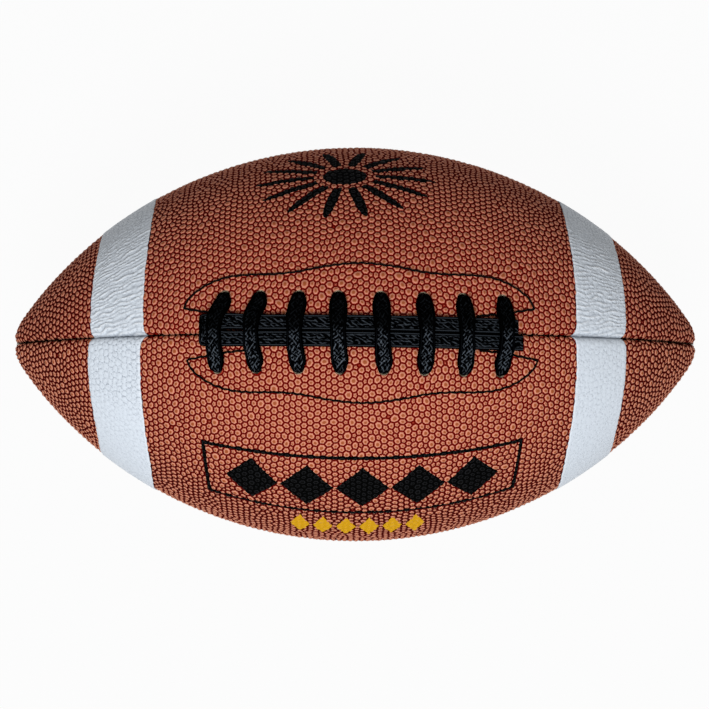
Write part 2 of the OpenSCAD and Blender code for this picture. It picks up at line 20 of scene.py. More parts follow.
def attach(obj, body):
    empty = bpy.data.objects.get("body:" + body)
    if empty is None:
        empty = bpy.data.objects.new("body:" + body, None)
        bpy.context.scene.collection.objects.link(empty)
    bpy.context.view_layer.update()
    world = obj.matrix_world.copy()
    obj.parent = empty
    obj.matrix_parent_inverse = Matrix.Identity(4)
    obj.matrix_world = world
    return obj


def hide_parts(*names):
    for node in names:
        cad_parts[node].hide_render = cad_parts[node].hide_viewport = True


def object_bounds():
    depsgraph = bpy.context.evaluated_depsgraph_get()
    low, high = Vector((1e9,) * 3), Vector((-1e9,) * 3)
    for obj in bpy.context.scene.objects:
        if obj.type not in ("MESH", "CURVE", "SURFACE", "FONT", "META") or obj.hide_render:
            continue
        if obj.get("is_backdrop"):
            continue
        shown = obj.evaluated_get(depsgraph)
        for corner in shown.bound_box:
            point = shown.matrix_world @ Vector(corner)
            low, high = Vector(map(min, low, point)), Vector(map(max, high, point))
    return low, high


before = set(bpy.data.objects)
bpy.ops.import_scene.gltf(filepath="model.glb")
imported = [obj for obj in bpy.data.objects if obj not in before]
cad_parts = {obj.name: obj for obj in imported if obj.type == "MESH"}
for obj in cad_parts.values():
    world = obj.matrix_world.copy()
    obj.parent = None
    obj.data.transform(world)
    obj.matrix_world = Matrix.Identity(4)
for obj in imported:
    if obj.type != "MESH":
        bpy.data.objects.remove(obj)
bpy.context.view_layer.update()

log = logging.getLogger("football")
MM = 0.001
DEGREE = math.pi / 180
QUARTER = math.pi / 2
EIGHTH = math.pi / 4
# Length of one band of the wave texture at scale 1.
WAVE_LENGTH = 0.314

ATTRIBUTE = "ShaderNodeAttribute"
BUMP = "ShaderNodeBump"
MIX = "ShaderNodeMix"
NOISE = "ShaderNodeTexNoise"
PLACE = ("ShaderNodeTexCoord", "Object", {})
RANGE = "ShaderNodeMapRange"
SURFACE = "ShaderNodeBsdfPrincipled"
WAVE = "ShaderNodeTexWave"

Steps = dict[str, tuple]


class Side(Enum):
    """The four cover panels, by the turn of the seam before each panel about the long axis."""

    LACE_FRONT = -1
    LACE_BACK = 0
    BASE_BACK = 1
    BASE_FRONT = -2

    @property
    def middle(self) -> float:
        """Turn of the panel's middle line, in radians from the top seam."""
        return self.value * QUARTER + EIGHTH


class Print(Enum):
    """What is printed on a panel."""

    NONE = "none"
    FRAME = "frame"
    RAYS = "rays"


def linear(code: str) -> tuple[float, float, float, float]:
    """Turns an sRGB hex colour into the linear colour that shaders take.

    Args:
        code: Colour such as "#b8663f".

    Returns:
        Red, green, blue and alpha, from 0 to 1.
    """
    parts = [int(code[i:i + 2], 16) / 255 for i in (1, 3, 5)]
    return tuple(c / 12.92 if c <= 0.04045 else ((c + 0.055) / 1.055) ** 2.4 for c in parts) + (1.0,)


def clamped(value: float, low: float = 0.0) -> float:
    """A number kept between a low one and 1."""
    return min(max(value, low), 1.0)


def smooth(share: np.ndarray | float) -> np.ndarray | float:
    """A share from 0 to 1, eased at both ends."""
    return share * share * (3 - 2 * share)


def along_path(points: np.ndarray) -> np.ndarray:
    """Length of a path up to each of its points."""
    return np.concatenate([[0], np.cumsum(np.linalg.norm(np.diff(points, axis=0), axis=1))])


def unit(rows: np.ndarray) -> np.ndarray:
    """Each row brought to the length 1."""
    return rows / np.linalg.norm(rows, axis=1)[:, None]


def add(tree: bpy.types.NodeTree, kind: str, values: dict | None = None) -> bpy.types.Node:
    """Adds one node with its settings and links.

    Args:
        tree: Tree that gets the node.
        kind: Type name of the node.
        values: Settings, by their names in small letters, and inputs, by socket name or number. An input is a
            value or the output socket that feeds it.

    Returns:
        The new node.
    """
    node = tree.nodes.new(kind)
    for key, value in (values or {}).items():
        if isinstance(key, str) and key.islower():
            setattr(node, key, value)
        elif isinstance(value, bpy.types.NodeSocket):
            tree.links.new(value, node.inputs[key])
        else:
            node.inputs[key].default_value = value
    return node


def shade(owner: bpy.types.Material | bpy.types.World, steps: Steps) -> None:
    """Gives a material or the world its nodes.

    Args:
        owner: What gets the nodes.
        steps: By name, a node as its kind, its output and its values, or a sum as its operation and its numbers.
            An input that names an earlier step is fed by it. The step named surface is what shows.
    """
    owner.use_nodes = True
    tree = owner.node_tree
    tree.nodes.clear()
    known: dict[str, bpy.types.NodeSocket] = {}
    for name, step in steps.items():
        if step[0].startswith("ShaderNode"):
            kind, out, values = step
        else:
            kind, out, values = "ShaderNodeMath", 0, {"operation": step[0], **dict(enumerate(step[1:]))}
        fed = {key: known.get(value, value) if isinstance(value, str) else value
               for key, value in values.items()}
        known[name] = add(tree, kind, fed).outputs[out]
    last = "ShaderNodeOutputWorld" if isinstance(owner, bpy.types.World) else "ShaderNodeOutputMaterial"
    tree.links.new(known["surface"], add(tree, last).inputs[0])


def new_material(name: str, steps: Steps) -> bpy.types.Material:
    """Makes a material from its name and its steps."""
    material = bpy.data.materials.new(name)
    shade(material, steps)
    return material


def mesh_object(name: str, points: np.ndarray, faces: list, smooth_shaded: bool = True) -> bpy.types.Object:
    """Makes an object from points in millimetres.

    Args:
        name: Name of the object and of its mesh.
        points: Points, one row each.
        faces: Corner numbers of each face, anticlockwise seen from outside.
        smooth_shaded: Whether the faces are shaded smooth.

    Returns:
        The linked object.
    """
    mesh = bpy.data.meshes.new(name)
    mesh.from_pydata((np.asarray(points) * MM).tolist(), [], faces)
    mesh.polygons.foreach_set("use_smooth", [smooth_shaded] * len(mesh.polygons))
    mesh.update()
    obj = bpy.data.objects.new(name, mesh)
    bpy.context.scene.collection.objects.link(obj)
    return obj


def store(obj: bpy.types.Object, name: str, values: np.ndarray, rest: float = 0.0) -> None:
    """Stores one number or one vector per point, for shaders to read.

    Args:
        obj: Object whose mesh gets the attribute.
        name: Name of the attribute.
        values: One number or three for each of the first points.
        rest: The number for all the points after them.
    """
    flat = np.full((len(obj.data.vertices), *np.shape(values)[1:]), rest, np.float32)
    flat[:len(values)] = values
    kind, key = ("FLOAT", "value") if flat.ndim == 1 else ("FLOAT_VECTOR", "vector")
    obj.data.attributes.new(name, kind, "POINT").data.foreach_set(key, flat.ravel())


def put_on_ball(obj: bpy.types.Object, node: str, material: bpy.types.Material) -> bpy.types.Object:
    """Dresses a piece and lets it stand for a construction node.

    Args:
        obj: The piece.
        node: The node that it replaces.
        material: Its finish.

    Returns:
        The piece.
    """
    obj.data.materials.append(material)
    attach(obj, "root")
    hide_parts(node)
    log.info("%s: %d faces", node, len(obj.data.polygons))
    return obj


def tube_faces(rings: int, sides: int) -> list[tuple[int, int, int, int]]:
    """Faces between the rings of a tube, without its ends."""
    return [(i * sides + k, i * sides + (k + 1) % sides, (i + 1) * sides + (k + 1) % sides, (i + 1) * sides + k)
            for i in range(rings - 1) for k in range(sides)]


@dataclass(frozen=True)
class BallForm:
    """Outer form of the ball: one side arc, two nose arcs, and a rounded valley along each seam."""

    length: float = 262.0
    dia: float = 151.0
    nose_r: float = 16.5
    valley_w: float = 3.4
    valley_d: float = 2.2
    valley_floor_share: float = 0.01
    cover_t: float = 1.8
    least_r: float = 0.2
    last_tilt: float = math.radians(87.3)
    table_steps: int = 4001

    @property
    def nose_x(self) -> float:
        """Distance from the middle to the centre of a nose arc."""
        return self.length / 2 - self.nose_r

    @property
    def side_r(self) -> float:
        """Radius of the side arc."""
        half = self.dia / 2
        return (self.nose_x ** 2 + half ** 2 - self.nose_r ** 2) / (2 * (half - self.nose_r))

    @property
    def side_drop(self) -> float:
        """Depth of the side arc's centre under the long axis."""
        return self.side_r - self.dia / 2

    @property
    def meet_tilt(self) -> float:
        """Tilt at which the side arc meets a nose arc."""
        return math.atan2(self.nose_x, self.side_drop)

    def profile(self, tilt: np.ndarray, rise: np.ndarray | float = 0.0) -> tuple[np.ndarray, np.ndarray]:
        """Place on the ball's profile.

        Args:
            tilt: Angle of the surface's normal from the middle plane, in radians.
            rise: Height above the profile.

        Returns:
            Place along the ball, and radius.
        """
        tilt = np.asarray(tilt, float)
        side = np.abs(tilt) <= self.meet_tilt
        along = np.where(side, (self.side_r + rise) * np.sin(tilt),
                         np.sign(tilt) * self.nose_x + (self.nose_r + rise) * np.sin(tilt))
        radius = np.where(side, (self.side_r + rise) * np.cos(tilt) - self.side_drop,
                          (self.nose_r + rise) * np.cos(tilt))
        return along, radius

    def arc(self, tilt: np.ndarray) -> np.ndarray:
        """Length of the profile from the middle to a tilt."""
        side = np.clip(tilt, -self.meet_tilt, self.meet_tilt)
        return self.side_r * side + self.nose_r * (tilt - side)

    def chart(self) -> tuple[np.ndarray, np.ndarray]:
        """Tables a map that keeps all angles.

        Returns:
            Tilts from nose to nose, and their places on the map.
        """
        tilt = np.linspace(-self.last_tilt, self.last_tilt, self.table_steps)
        length = self.arc(tilt)
        pace = 1 / self.profile(tilt)[1]
        place = np.concatenate([[0], np.cumsum((pace[1:] + pace[:-1]) / 2 * np.diff(length))])
        return tilt, place - place[self.table_steps // 2]

    def valley(self, off: np.ndarray) -> tuple[np.ndarray, np.ndarray]:
        """Depth and slope of the valley beside a seam.

        Args:
            off: Distance from the seam.

        Returns:
            Depth under the ball's surface, and how steeply the surface rises away from the seam.
        """
        share = np.clip(1 - off / self.valley_w, 0, 1)
        root = np.sqrt(np.maximum(1 - share ** 2, self.valley_floor_share))
        return self.valley_d * (1 - root), self.valley_d * share / (self.valley_w * root)

    def point(self, tilt: np.ndarray, turn: np.ndarray, rise: np.ndarray | float = 0.0) -> np.ndarray:
        """Points at a rise above the ball with no valleys.

        Args:
            tilt: Tilts in radians.
            turn: Turns about the long axis, in radians from the top seam.
            rise: Height along the normal.

        Returns:
            One point per row.
        """
        along, radius = self.profile(tilt, rise)
        return np.stack([along, radius * np.sin(turn), radius * np.cos(turn)], -1)

    def skin(self, tilt: np.ndarray, turn: np.ndarray, lift: np.ndarray | float) -> np.ndarray:
        """Points at a lift along the normal of the real surface, valleys included.

        Args:
            tilt: Tilts in radians.
            turn: Turns in radians.
            lift: Height along the normal.

        Returns:
            One point per row.
        """
        radius = np.maximum(self.profile(tilt)[1], self.least_r)
        seam = np.round(turn / QUARTER) * QUARTER
        off = radius * (turn - seam)
        depth, slope = self.valley(np.abs(off))
        lean = np.sqrt(1 + slope ** 2)
        shifted = off - np.sign(off) * slope * lift / lean
        return self.point(tilt, seam + shifted / radius, lift / lean - depth)

    def on_side(self, along: np.ndarray, across: np.ndarray, rise: np.ndarray | float) -> np.ndarray:
        """Points by arc lengths along the top seam and across it."""
        tilt = np.asarray(along) / self.side_r
        return self.point(tilt, across / self.profile(tilt)[1], rise)


BALL = BallForm()


@dataclass(frozen=True)
class Hole:
    """A round hole through a panel, by its tilt and turn."""

    tilt: float
    turn: float
    radius: float


@dataclass(frozen=True)
class PebbleGrain:
    """Embossed grain: uneven rounded polygons between grooves, each raised in its middle, where a dimple's shade
    is painted.
    """

    spacing: float = 2.5
    jitter_share: float = 0.33
    row_share: float = 0.88
    past_side_share: float = 2.2
    past_end_places: tuple = (0.8, 2.4)
    past_end_turns: tuple = (-1.6, 0, 1.6)
    finer_from: float = 72.0
    finer_full: float = 104.0
    finer_share: float = 0.02
    groove_half: float = 0.55
    corner_share: float = 0.95
    least_inner_share: float = 0.22
    least_height_share: float = 0.1
    pressed_more: float = 0.26
    leaned_more: float = 0.32
    cut_step: float = 0.8
    cut_inset: float = 0.12
    full_size: float = 1.6
    least_size: float = 0.4
    least_reach: float = 1e-4

    def step_at(self, arc: float) -> float:
        """Distance between neighbouring cells, which grows finer towards the noses."""
        share = clamped((abs(arc) - self.finer_from) / (self.finer_full - self.finer_from))
        return self.spacing * (1 - self.finer_share * share)


class CutKind(Enum):
    """What a cell's edge lies on."""

    GROOVE = 0
    SEAM = 1
    END = 2
    HOLE = 3


@dataclass(frozen=True)
class Cut:
    """An edge that stops the grain: cells are kept where its level is above zero."""

    kind: CutKind
    level: Callable[[np.ndarray], np.ndarray]
    settle: Callable[[np.ndarray], np.ndarray]

    def crossing(self, a: np.ndarray, b: np.ndarray, level_a: float, level_b: float) -> np.ndarray:
        """Where a line crosses the edge, the same from either side.

        Args:
            a: One end on the map.
            b: The other end.
            level_a: Level at the one end.
            level_b: Level at the other end.

        Returns:
            The crossing, on the edge.
        """
        if tuple(a) > tuple(b):
            a, b, level_a, level_b = b, a, level_b, level_a
        return self.settle((a + (b - a) * (level_a / (level_a - level_b)))[None])[0]


@dataclass
class Cell:
    """One pebble: its outline on the map, and what each side of it lies on."""

    outline: np.ndarray
    kinds: list[CutKind]

    def trimmed(self, cut: Cut) -> "Cell | None":
        """The part of the cell inside an edge.

        Args:
            cut: The edge.

        Returns:
            The part, or None if nothing is left.
        """
        levels = cut.level(self.outline)
        if (levels > 0).all():
            return self
        if (levels <= 0).all():
            return None
        points: list[np.ndarray] = []
        kinds: list[CutKind] = []
        count = len(self.outline)
        for i in range(count):
            j = (i + 1) % count
            a, b = self.outline[i], self.outline[j]
            if levels[i] > 0:
                points.append(a)
                kinds.append(self.kinds[i])
            if (levels[i] > 0) != (levels[j] > 0):
                points.append(cut.crossing(a, b, levels[i], levels[j]))
                kinds.append(cut.kind if levels[i] > 0 else self.kinds[i])
        return Cell(np.array(points), kinds)


class PanelMap:
    """A map of one panel that keeps angles: place along the ball, and turn from the panel's middle."""

    edge_gap: float = 0.05
    nose_share: float = 0.55
    press_start: float = 0.94
    press_span: float = 0.5
    lean_at_deg: float = 82.0
    lean_span_deg: float = 38.0
    hole_bevel: float = 0.45

    def __init__(self, side: Side, holes: list[Hole]) -> None:
        """Tables the map and its edges.

        Args:
            side: The panel.
            holes: Round holes through it.
        """
        self.side = side
        self.tilts, self.places = BALL.chart()
        self.radii = BALL.profile(self.tilts)[1]
        self.arcs = BALL.arc(self.tilts)
        self.end = float(self.places[-1])
        self.rims: list[tuple[np.ndarray, float]] = []
        self.cuts = [Cut(CutKind.SEAM, self._seam_level, self._seam_settle),
                     Cut(CutKind.END, self._end_level, self._end_settle)]
        self.cuts += [self._hole_cut(hole) for hole in holes]

    def radius(self, place: np.ndarray) -> np.ndarray:
        """Radius of the ball at places on the map."""
        return np.interp(place, self.places, self.radii)

    def tilt(self, place: np.ndarray) -> np.ndarray:
        """Tilt at places on the map."""
        return np.interp(place, self.places, self.tilts)

    def turn(self, points: np.ndarray) -> np.ndarray:
        """Turn from the top seam of points on the map."""
        return points[:, 1] + self.side.middle

    def place_of(self, tilt: float) -> float:
        """Place on the map of a tilt."""
        return float(np.interp(tilt, self.tilts, self.places))

    def row(self, arc: float) -> tuple[float, float]:
        """Place on the map, and radius, at a length along the ball's profile."""
        place = float(np.interp(arc, self.arcs, self.places))
        return place, float(self.radius(place))

    def limit(self, place: np.ndarray) -> np.ndarray:
        """Turn from the middle of the panel to its sewn edge."""
        return EIGHTH - self.edge_gap / self.radius(place)

    def press(self, points: np.ndarray) -> np.ndarray:
        """How much wider the grooves are towards the noses and the sides, and how much painted shade the leather
        gets there, from 0 to 1.
        """
        along = np.abs(BALL.profile(self.tilt(points[:, 0]))[0]) / BALL.nose_x
        upright = np.abs(np.cos(self.turn(points))) * (1 - self.nose_share * along ** 3)
        return np.clip((self.press_start - upright) / self.press_span, 0, 1)

    def lean(self, points: np.ndarray) -> np.ndarray:
        """How much wider the grooves are round the front seam, from 0 to 1."""
        off_deg = np.abs(-np.degrees(self.turn(points)) - self.lean_at_deg)
        return np.clip(1 - off_deg / self.lean_span_deg, 0, 1)

    def off(self, points: np.ndarray) -> np.ndarray:
        """Distance of points on the map from the nearest seam."""
        return (EIGHTH - np.abs(points[:, 1])) * self.radius(points[:, 0])

    def _seam_level(self, points: np.ndarray) -> np.ndarray:
        """Distance inside the sewn edges, as a turn."""
        return self.limit(points[:, 0]) - np.abs(points[:, 1])

    def _seam_settle(self, points: np.ndarray) -> np.ndarray:
        """Moves points onto the nearest sewn edge."""
        return np.stack([points[:, 0], np.sign(points[:, 1]) * self.limit(points[:, 0])], 1)

    def _end_level(self, points: np.ndarray) -> np.ndarray:
        """Distance inside the ends."""
        return self.end - np.abs(points[:, 0])

    def _end_settle(self, points: np.ndarray) -> np.ndarray:
        """Moves points onto the nearest end."""
        return np.stack([np.sign(points[:, 0]) * self.end, points[:, 1]], 1)

    def _hole_cut(self, hole: Hole) -> Cut:
        """The edge of a round hole."""
        centre = np.array([self.place_of(hole.tilt), hole.turn - self.side.middle])
        size = hole.radius / float(self.radius(centre[0]))
        self.rims.append((centre, size))

        def level(points: np.ndarray) -> np.ndarray:
            """Distance outside the hole."""
            return np.hypot(*(points - centre).T) - size

        def settle(points: np.ndarray) -> np.ndarray:
            """Moves points onto the rim."""
            gap = points - centre
            return centre + gap / np.hypot(*gap.T)[:, None] * size

        return Cut(CutKind.HOLE, level, settle)

    def settled(self, point: np.ndarray, kind: CutKind) -> np.ndarray:
        """Moves a point onto the nearest edge of its kind."""
        cuts = [cut for cut in self.cuts if cut.kind is kind]
        nearest = min(cuts, key=lambda cut: abs(float(cut.level(point[None])[0])))
        return nearest.settle(point[None])[0]

    def narrowed(self, points: np.ndarray) -> np.ndarray:
        """Points of holes' rims, moved into the holes by the bevel of their cut edge."""
        moved = points.copy()
        for i, point in enumerate(points):
            centre, _ = min(self.rims, key=lambda rim: abs(float(np.hypot(*(point - rim[0]))) - rim[1]))
            gap = centre - point
            moved[i] += gap / np.hypot(*gap) * self.hole_bevel / float(self.radius(point[0]))
        return moved


class PebblePattern:
    """Cells of the grain on one panel."""

    join_gap: float = 1e-9

    def __init__(self, grain: PebbleGrain, panel: PanelMap, seed: int) -> None:
        """Lays out the cells and trims them to the panel.

        Args:
            grain: Sizes of the grain.
            panel: Map of the panel.
            seed: Seed of the random draws.
        """
        self.grain = grain
        self.panel = panel
        rng = np.random.default_rng(seed)
        self.cells = self._laid_out(*self._relaxed(*self._seeds(rng)))
        for cut in panel.cuts:
            self.cells = self._trimmed(cut)
        self.tones = rng.random(len(self.cells))

    def _seeds(self, rng: np.random.Generator) -> tuple[np.ndarray, np.ndarray]:
        """Draws the middles of the cells.

        Args:
            rng: Random generator.

        Returns:
            Middles on the map, and which of them may move. Those past the ends stay, and close the last cells.
        """
        grain, panel = self.grain, self.panel
        arcs = [0.0]
        while arcs[-1] < panel.arcs[-1]:
            arcs.append(arcs[-1] + grain.step_at(arcs[-1]) * grain.row_share)
        rows = []
        for arc in [-a for a in arcs[-2:0:-1]] + arcs[:-1]:
            step = grain.step_at(arc)
            place, radius = panel.row(arc)
            reach = EIGHTH * radius + grain.past_side_share * step
            half = int(reach // step) + 1
            across = (np.arange(-half, half + 1) + rng.uniform(-0.5, 0.5)) * step
            across = across[np.abs(across) <= reach]
            shift = rng.uniform(-1, 1, (len(across), 2)) * grain.jitter_share * step / radius
            rows.append(np.stack([np.full(len(across), place), across / radius], 1) + shift)
        seeds = np.concatenate(rows)
        ends = np.array([[way * (panel.end + past), turn] for way in (-1, 1) for past in grain.past_end_places
                         for turn in grain.past_end_turns])
        return np.concatenate([seeds, ends]), np.arange(len(seeds) + len(ends)) < len(seeds)

    def _joined(self, seeds: np.ndarray, moves: np.ndarray) -> tuple[np.ndarray, np.ndarray, np.ndarray]:
        """Joins the middles of neighbouring cells by triangles.

        Args:
            seeds: Middles on the map.
            moves: Which of them may move.

        Returns:
            Middles and marks in the triangles' order, and the triangles.
        """
        points, _, faces, origins, *_ = delaunay_2d_cdt([Vector(p) for p in seeds.tolist()], [], [], 0,
                                                        self.join_gap)
        order = [o[0] for o in origins]
        return np.array([tuple(p) for p in points]), moves[order], np.array(faces)

    def _relaxed(self, seeds: np.ndarray, moves: np.ndarray) -> tuple[np.ndarray, np.ndarray]:
        """Moves each middle to the mean of its cell's corners."""
        seeds, moves, faces = self._joined(seeds, moves)
        corners = seeds[faces].mean(1)
        total = np.zeros_like(seeds)
        number = np.zeros(len(seeds))
        for k in range(3):
            np.add.at(total, faces[:, k], corners)
            np.add.at(number, faces[:, k], 1)
        mean = total / np.maximum(number, 1)[:, None]
        return np.where((moves & (number > 2))[:, None], mean, seeds), moves

    def _laid_out(self, seeds: np.ndarray, moves: np.ndarray) -> list[Cell]:
        """Outlines the cells round their middles."""
        seeds, _, faces = self._joined(seeds, moves)
        corners = seeds[faces].mean(1)
        owner = faces.ravel()
        tri = np.repeat(np.arange(len(faces)), 3)
        angle = np.arctan2(corners[tri, 1] - seeds[owner, 1], corners[tri, 0] - seeds[owner, 0])
        order = np.lexsort((angle, owner))
        tri = tri[order]
        starts = np.searchsorted(owner[order], np.arange(len(seeds) + 1))
        rings = [tri[a:b] for a, b in zip(starts, starts[1:])]
        return [Cell(corners[ring], [CutKind.GROOVE] * len(ring)) for ring in rings if len(ring) > 2]

    def _trimmed(self, cut: Cut) -> list[Cell]:
        """What one edge of the panel leaves of the cells."""
        sizes = [len(cell.outline) for cell in self.cells]
        levels = cut.level(np.concatenate([cell.outline for cell in self.cells]))
        lowest = np.minimum.reduceat(levels, np.cumsum([0] + sizes[:-1]))
        left = [cell if low > 0 else cell.trimmed(cut) for cell, low in zip(self.cells, lowest)]
        return [cell for cell in left if cell]


class CoverShell:
    """A cover panel's closed shell: raised cells, sewn edges turned in as flanges, and a plain inside."""

    top: float = -0.1
    relief_d: float = 0.42
    dimple_rise: float = 0.2
    uneven: float = 0.07
    inner_step: float = 4.0
    inner_clear_share: float = 0.5
    inner_join_gap: float = 1e-12
    batch: int = 200
    spot_digits: int = 9
    least_area: float = 1e-9
    first_d: float = 0.4
    first_share: float = 0.1
    wall_shares: tuple = (0.5, 0.8, 1.0)
    # Painted shade along the seams: how many rings down a sewn edge keep it, how far it reaches, and how strong
    # it is, more towards the noses and the sides.
    shaded_rings: int = 2
    seam_shade_reach: float = 0.48
    seam_shade_least: float = 0.3
    seam_shade_more: float = 0.45
    flange_side: float = 1.95
    flange_side_share: float = 0.3
    flange_clear: float = 0.8
    flange_d: float = 5.2
    least_d: float = 0.3
    least_r: float = 0.3
    fade_from: float = 8.0
    fade_full: float = 16.0
    slit_d: float = 0.5
    slit_half: float = 66.0
    top_seam_turn: float = 0.1

    def __init__(self, pattern: PebblePattern) -> None:
        """Welds the cells' outlines and raises their tops on the map."""
        self.panel = pattern.panel
        self.grain = pattern.grain
        self.spots: list[tuple[float, float]] = []
        self.known: dict[tuple[float, float], int] = {}
        self.marks: list[tuple[float, float, float]] = []
        self.faces: list[tuple[int, ...]] = []
        self.rim: list[tuple[int, int, CutKind]] = []
        for cell, tone in zip(pattern.cells, pattern.tones):
            self._raise(cell, float(tone))

    def _spot(self, point: np.ndarray, marks: tuple[float, float, float], weld: bool = False) -> int:
        """Number of a point on the map, added if it is new.

        Args:
            point: The point.
            marks: Its share of the relief, of the dimple, and its cell's tone.
            weld: Whether a point that is there already serves.

        Returns:
            Its number.
        """
        spot = (float(point[0]), float(point[1]))
        key = (round(spot[0], self.spot_digits), round(spot[1], self.spot_digits))
        if weld and key in self.known:
            return self.known[key]
        if weld:
            self.known[key] = len(self.spots)
        self.spots.append(spot)
        self.marks.append(marks)
        return len(self.spots) - 1

    def _ring(self, cell: Cell) -> list[tuple[np.ndarray, float, float, CutKind]]:
        """Points round a cell, each with its height, the inset of its top's edge, and what follows it."""
        grain = self.grain
        radius = float(self.panel.radius(cell.outline[:, 0].mean()))
        ring = []
        for i, kind in enumerate(cell.kinds):
            a, b = cell.outline[i], cell.outline[(i + 1) % len(cell.kinds)]
            grooved = kind is CutKind.GROOVE
            if grooved or cell.kinds[i - 1] is CutKind.GROOVE:
                ring.append((a, 0.0, grain.corner_share * grain.groove_half, kind))
            else:
                ring.append((a, 1.0, grain.cut_inset, kind))
            if grooved:
                ring.append(((a + b) / 2, 0.0, grain.groove_half, kind))
                continue
            pieces = max(2, math.ceil(float(np.hypot(*(b - a))) * radius / grain.cut_step))
            for k in range(1, pieces):
                between = (a + b) / 2 if pieces == 2 else a + (b - a) * (k / pieces)
                ring.append((self.panel.settled(between, kind), 1.0, grain.cut_inset, kind))
        return ring

    def _middle(self, points: np.ndarray) -> tuple[np.ndarray, float]:
        """Centroid and area of an outline on the map."""
        after = np.roll(points, -1, 0)
        cross = points[:, 0] * after[:, 1] - after[:, 0] * points[:, 1]
        area = float(cross.sum() / 2)
        if area <= self.least_area:
            return points.mean(0), area
        return ((points + after) * cross[:, None]).sum(0) / (6 * area), area

    def _raise(self, cell: Cell, tone: float) -> None:
        """Adds one cell: its outline, its shoulder and its middle."""
        grain, panel = self.grain, self.panel
        radius = float(panel.radius(cell.outline[:, 0].mean()))
        ring = self._ring(cell)
        points = np.array([point for point, *_ in ring])
        middle, area = self._middle(points)
        size = math.sqrt(max(area, 0)) * radius
        height = clamped((size - grain.least_size) / (grain.full_size - grain.least_size),
                         grain.least_height_share)
        reach = np.maximum(np.hypot(*(points - middle).T) * radius, grain.least_reach)
        wider = (1 + grain.pressed_more * float(panel.press(middle[None])[0])
                 + grain.leaned_more * float(panel.lean(middle[None])[0]))
        insets = np.array([inset for _, _, inset, _ in ring]) * wider
        share = np.maximum(1 - insets / reach, grain.least_inner_share)
        inner = middle + (points - middle) * share[:, None]
        outer_ids = [self._spot(point, (rise * height, 0.0, 0.5), weld=True) for point, rise, *_ in ring]
        inner_ids = [self._spot(point, (height, 0.0, tone)) for point in inner]
        centre = self._spot(middle, (height, 1.0, tone))
        for k, (*_, kind) in enumerate(ring):
            j = (k + 1) % len(ring)
            if outer_ids[k] == outer_ids[j]:
                continue
            self.faces.append((outer_ids[k], outer_ids[j], inner_ids[j], inner_ids[k]))
            self.faces.append((inner_ids[k], inner_ids[j], centre))
            if kind is not CutKind.GROOVE:
                self.rim.append((outer_ids[k], outer_ids[j], kind))

    def build(self, name: str) -> bpy.types.Object:
        """Builds the shell, with its shading values stored."""
        panel = self.panel
        spots = np.array(self.spots)
        relief, dimple, tone = np.array(self.marks).T
        tilt, turn = panel.tilt(spots[:, 0]), panel.turn(spots)
        lift = (self.top - self.relief_d * (1 - relief) + self.dimple_rise * dimple
                + (tone - 0.5) * self.uneven * relief)
        skin = BALL.skin(tilt, turn, lift)
        kinds: dict[int, CutKind] = {}
        for a, b, kind in self.rim:
            for p in (a, b):
                if kinds.get(p) is not CutKind.SEAM:
                    kinds[p] = kind
        rim = sorted(kinds)
        sewn = np.array([kinds[p] is CutKind.SEAM for p in rim])
        holed = np.array([kinds[p] is CutKind.HOLE for p in rim])
        rings, floor_spots = self._walls(skin[rim], spots[rim], lift[rim], sewn, holed)
        number = {p: i for i, p in enumerate(rim)}
        edges = [(number[a], number[b]) for a, b, _ in self.rim]
        faces = list(self.faces)
        for (a, b, _), (i, j) in zip(self.rim, edges):
            upper = (a, b)
            for start in range(len(skin), len(skin) + len(rings) * len(rim), len(rim)):
                faces.append((upper[1], upper[0], start + i, start + j))
                upper = (start + i, start + j)
        last = len(skin) + (len(rings) - 1) * len(rim)
        grid, triangles = self._inside(floor_spots, edges)
        faces += [tuple(last + v for v in t[::-1]) for t in triangles]
        new = grid[len(rim):]
        inside = BALL.point(panel.tilt(new[:, 0]), panel.turn(new), -BALL.cover_t)
        obj = mesh_object(name, np.concatenate([skin] + rings + [inside]), faces)
        press = panel.press(spots)
        # Painted shade in the crease along each seam, stronger towards the noses and the sides.
        fold = np.exp(-(panel.off(spots) / self.seam_shade_reach) ** 2) * (self.seam_shade_least + self.seam_shade_more * press)
        # The first rings down a sewn edge get that painted shade; the rest of the walls and the inside show the
        # pale cut edge.
        bare = [np.where(sewn & (level < self.shaded_rings), 0.0, 1.0) for level in range(len(rings))]
        store(obj, "relief", relief)
        store(obj, "dimple", dimple)
        store(obj, "tone", tone, rest=0.5)
        store(obj, "press", press)
        store(obj, "fold", fold, rest=1.0)
        store(obj, "cut", np.concatenate([np.zeros(len(skin))] + bare), rest=1.0)
        store(obj, "plan", np.stack([BALL.arc(tilt), np.degrees(np.abs(turn)), panel.radius(spots[:, 0])], 1))
        return obj

